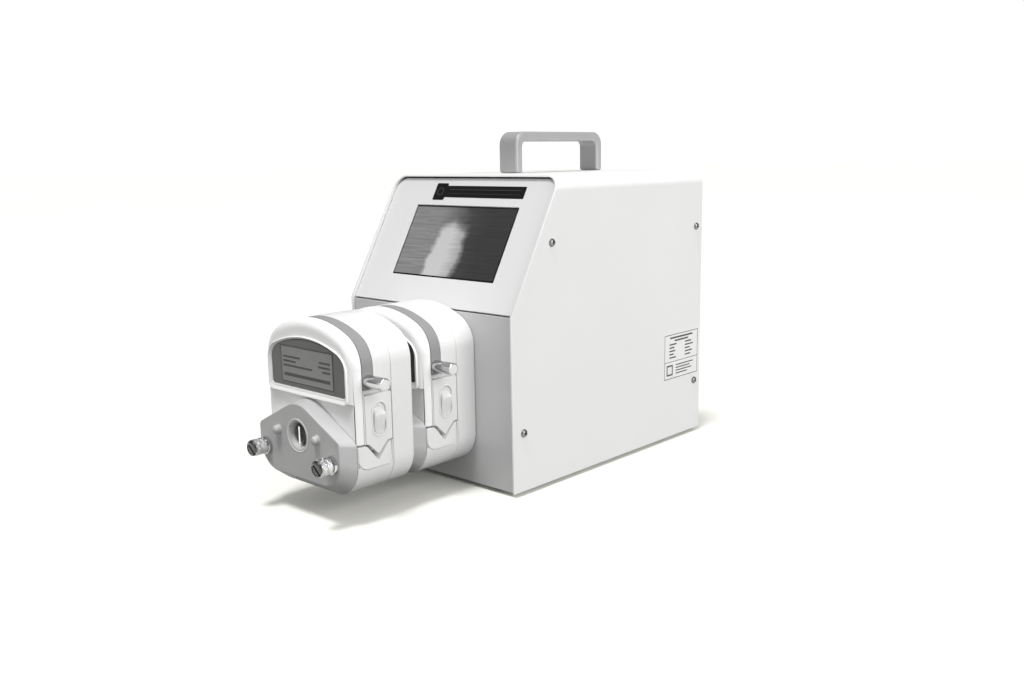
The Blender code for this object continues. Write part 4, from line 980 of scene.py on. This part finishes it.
def build_clamps(which, head):
    low, high = 19.3, 42.6
    corners = [(54.6, low, 0.0), (54.3, NOTCH_Z - 8.5, 0.0), (46.2, NOTCH_Z, 0.4),
               (54.3, NOTCH_Z + 8.5, 0.0), (54.6, high, 0.0), (88.5, high, 1.5),
               (88.5, low, 1.5)]
    outline = rounded(corners, 5)
    outer = rectangle(58.3, 23.7, 83.3, 37.3, 6.6, 16)
    inner = rectangle(59.4, 24.8, 82.2, 36.2, 5.5, 16)
    for side, word in SIDES:
        body = f"{which}_tube_clamp_{word}"
        near, far = sorted((side * 45.7, side * HALF))
        clamp = solid(f"{which}_clamp_{word}", prism(outline, near, far, "yz"), head, PLASTIC)
        rim = loft([[(side * 49.0, y, z) for y, z in outer],
                    [(side * 51.2, y, z) for y, z in outer]])
        dish = loft([[(side * 49.7, y, z) for y, z in inner],
                     [(side * 52.0, y, z) for y, z in inner]])
        carve(clamp, head, joins=[rim])
        carve(clamp, head, cuts=[dish], joins=[thumb_wedge(side)])
        finish(clamp, body, "head_white", body, edge=0.3, merge_faces=False)


def build_rotor(which, head):
    body = f"{which}_rotor"
    profile = [(0.0, 58.0), (6.0, 58.0), (6.5, 57.5), (6.5, 41.0), (31.0, 41.0), (31.0, 38.6),
               (12.0, 38.6), (12.0, 22.4), (31.0, 22.4), (31.0, 20.0), (6.5, 20.0), (6.5, -4.5),
               (0.0, -4.5)]
    rotor = solid(f"{which}_rotor_cage", lathe(profile, 72, 0.0, AXIS_Y), head, OXIDE)
    cuts = [block((-1.6, AXIS_Y - 10.0, -6.0), (1.6, AXIS_Y + 10.0, 0.4))]
    centres = [polar(ROLLER_CIRCLE, angle, 0.0, AXIS_Y) for angle in ROLLER_ANGLES]
    cuts += [prism(circle(x, y, 2.9, 28), 18.0, 43.0) for x, y in centres]
    carve(rotor, head, cuts=cuts)
    finish(rotor, body, "steel", f"{which}_rotor", edge=0.3)
    outline = rectangle(-0.8, AXIS_Y - 6.4, 0.8, AXIS_Y + 6.4, 0.4, 4)
    blade = solid(f"{which}_drive_blade", prism(outline, 57.4, 61.3), head, BRIGHT)
    finish(blade, body, "steel", edge=0.2)
    profile = [(0.0, 40.4), (2.2, 40.4), (2.5, 40.1), (2.5, 38.1), (7.7, 38.1), (8.5, 37.3),
               (8.5, 23.7), (7.7, 22.9), (2.5, 22.9), (2.5, 20.9), (2.2, 20.6), (0.0, 20.6)]
    for i, (x, y) in enumerate(centres, start=1):
        roller = solid(f"{which}_roller_{i}_steel", lathe(profile, 48, x, y), head, STEEL)
        finish(roller, f"{which}_roller_{i}", "steel", f"{which}_roller_{i}", edge=0.0)


def knurled(x, y, low, high, radius, count=30, depth=0.38):
    """A knurled sleeve: rings whose radius follows crossed diagonal ridges."""
    around, along = count * 5, 34
    pitch = 2 * math.pi * radius / count
    bm = bmesh.new()
    made = []
    for k in range(along + 1):
        z = low + (high - low) * k / along
        ring = []
        for i in range(around):
            turn = 2 * math.pi * i / around
            u, v = turn * count / (2 * math.pi), (z - low) / pitch
            ridge = min(abs(math.sin(math.pi * (u + v))), abs(math.sin(math.pi * (u - v))))
            reach = radius - depth * (1.0 - min(1.0, ridge * 1.6))
            if k in (0, along):
                reach = radius - 0.5
            ring.append(bm.verts.new((x + reach * math.cos(turn), y + reach * math.sin(turn), z)))
        made.append(ring)
    return skin(bm, made)


def build_thumb_screws():
    head = HEADS["front"]
    tip, seat = 76.8, NOSE_FRONT + 0.3
    end = (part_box("thumb_screw_right")[1].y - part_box("front_back_housing")[1].y) * -1000
    for side, word in SIDES:
        x, body = side * ROD_X, f"thumb_screw_{word}"
        sleeve = knurled(x, ROD_Y, seat + 3.2, tip - 1.5, 6.0)
        knob = solid(f"{body}_knob", sleeve, head, CHROME_KNURL)
        end_ring = lathe([(0.0, tip), (4.6, tip), (5.5, tip - 0.5), (5.7, tip - 0.9),
                          (5.2, tip - 1.3), (5.2, tip - 2.5), (0.0, tip - 2.5)], 56, x, ROD_Y)
        slot = block((-8.0, -0.8, tip - 2.2), (8.0, 0.8, tip + 1.0))
        slot.transform(Matrix.Translation((x, ROD_Y, 0.0))
                       @ Matrix.Rotation(math.radians(-40.0), 4, "Z"))
        dish = lathe([(0.0, tip + 1.0), (4.0, tip + 1.0), (4.0, tip - 0.3), (0.0, tip - 0.3)],
                     48, x, ROD_Y)
        tip_piece = solid(f"{body}_tip", end_ring, head, DARK_NICKEL)
        carve(tip_piece, head, cuts=[slot, dish])
        finish(tip_piece, body, "chrome", edge=0.0)
        finish(knob, body, "chrome", edge=0.0)
        profile = [(0.0, seat + 3.4), (5.2, seat + 3.4), (5.2, seat + 2.5), (6.2, seat + 2.4),
                   (6.5, seat + 2.1), (6.5, seat + 0.3), (6.2, seat), (2.5, seat), (2.5, end),
                   (0.0, end)]
        rod = solid(f"{body}_rod", lathe(profile, 56, x, ROD_Y), head, CHROME)
        finish(rod, body, "chrome", body, edge=0.0)


# ------------------------------------------------------------------ stage, light, camera

def build_stage():
    bm = bmesh.new()
    bmesh.ops.create_grid(bm, x_segments=8, y_segments=8, size=15.0)
    floor = solid("floor", bm, Matrix.Identity(4), floor_finish())
    floor.visible_diffuse = False


def floor_finish():
    n = Nodes("studio_floor")
    cloud = n.noise(n.position(), 1.5, 3.0)
    n.link(n.ramp(cloud, [(0.3, (0.945, 0.94, 0.885)), (0.7, (0.955, 0.95, 0.90))]),
           n.shader.inputs["Base Color"])
    n.link(n.remap(cloud, 0.7, 0.85), n.shader.inputs["Roughness"])
    n.shader.inputs["Specular IOR Level"].default_value = 0.1
    return n.material


def build_world():
    """Camera rays see white; all other rays see a room that grows lighter with height."""
    world = bpy.data.worlds.new("studio")
    world.use_nodes = True
    tree = world.node_tree
    tree.nodes.clear()
    new, link = tree.nodes.new, tree.links.new
    room, white = new("ShaderNodeBackground"), new("ShaderNodeBackground")
    white.inputs["Color"].default_value = (1.0, 1.0, 1.0, 1.0)
    white.inputs["Strength"].default_value = 1.05
    coords, parts = new("ShaderNodeTexCoord"), new("ShaderNodeSeparateXYZ")
    link(coords.outputs["Generated"], parts.inputs["Vector"])
    height = new("ShaderNodeMapRange")
    height.inputs["From Min"].default_value = -1.0
    link(parts.outputs["Z"], height.inputs["Value"])
    ramp = new("ShaderNodeValToRGB")
    stops = ((0.0, 0.05), (0.46, 0.09), (0.52, 0.20), (0.62, 0.34), (0.80, 0.45), (1.0, 0.62))
    for i, (place, level) in enumerate(stops):
        stop = (ramp.color_ramp.elements[i] if i < 2 else ramp.color_ramp.elements.new(place))
        stop.position = place
        stop.color = (level, level, level, 1.0)
    link(height.outputs["Result"], ramp.inputs["Fac"])
    link(ramp.outputs["Color"], room.inputs["Color"])
    path, mix = new("ShaderNodeLightPath"), new("ShaderNodeMixShader")
    out = new("ShaderNodeOutputWorld")
    link(path.outputs["Is Camera Ray"], mix.inputs["Fac"])
    link(room.outputs["Background"], mix.inputs[1])
    link(white.outputs["Background"], mix.inputs[2])
    link(mix.outputs["Shader"], out.inputs["Surface"])
    SCENE.world = world


def place_lamp(light, place, travel):
    lamp = bpy.data.objects.new(light.name, light)
    lamp.location = place
    lamp.rotation_euler = travel.to_track_quat("-Z", "Y").to_euler()
    SCENE.collection.objects.link(lamp)


def softbox(name, place, aim, size, power):
    light = bpy.data.lights.new(name, "AREA")
    light.shape = "RECTANGLE"
    light.size, light.size_y = size
    light.energy = power
    place_lamp(light, place, Vector(aim) - Vector(place))


def build_light():
    build_world()
    sun = bpy.data.lights.new("overhead", "SUN")
    sun.energy = 2.15
    sun.angle = math.radians(15.0)
    place_lamp(sun, (0.0, 0.0, 0.0), Vector((-0.03, 0.25, -0.95)))
    softbox("right_softbox", (2.2, 0.1, 0.9), (0.1, 0.0, 0.12), (1.8, 1.6), 42.0)
    softbox("front_softbox", (-0.2, -2.4, 0.7), (0.0, 0.0, 0.12), (1.6, 1.2), 6.0)


def build_camera():
    az, el, roll = math.radians(42.785), math.radians(10.524), math.radians(-0.933)
    forward = Vector((-math.sin(az) * math.cos(el), math.cos(az) * math.cos(el), -math.sin(el)))
    right = Vector((math.cos(az), math.sin(az), 0.0))
    up = right.cross(forward)
    turned_right = right * math.cos(roll) + up * math.sin(roll)
    turned_up = up * math.cos(roll) - right * math.sin(roll)
    data = bpy.data.cameras.new("camera")
    data.sensor_width = 36.0
    data.lens = 35.38
    data.clip_start = 0.02
    camera = bpy.data.objects.new("camera", data)
    spot = Vector((0.5726, CASE_LOW.y - 0.5201, CASE_LOW.z + 0.2476))
    rows = Matrix((turned_right, turned_up, -forward)).transposed().to_4x4()
    camera.matrix_world = Matrix.Translation(spot) @ rows
    SCENE.collection.objects.link(camera)
    SCENE.camera = camera


def main():
    build_cover()
    build_panels()
    build_display()
    build_strip()
    build_handle()
    build_side_screws()
    build_feet()
    build_side_label()
    build_rear_and_inside()
    for which, head in HEADS.items():
        for build in (build_back_housing, build_lower_body, build_tube_seats, build_nose,
                      build_jaw, build_cap, build_window, build_lever, build_clamps,
                      build_rotor):
            build(which, head)
    build_thumb_screws()
    build_stage()
    build_light()
    build_camera()
    SCENE.view_settings.view_transform = "Standard"


main()
bpy.context.view_layer.update()
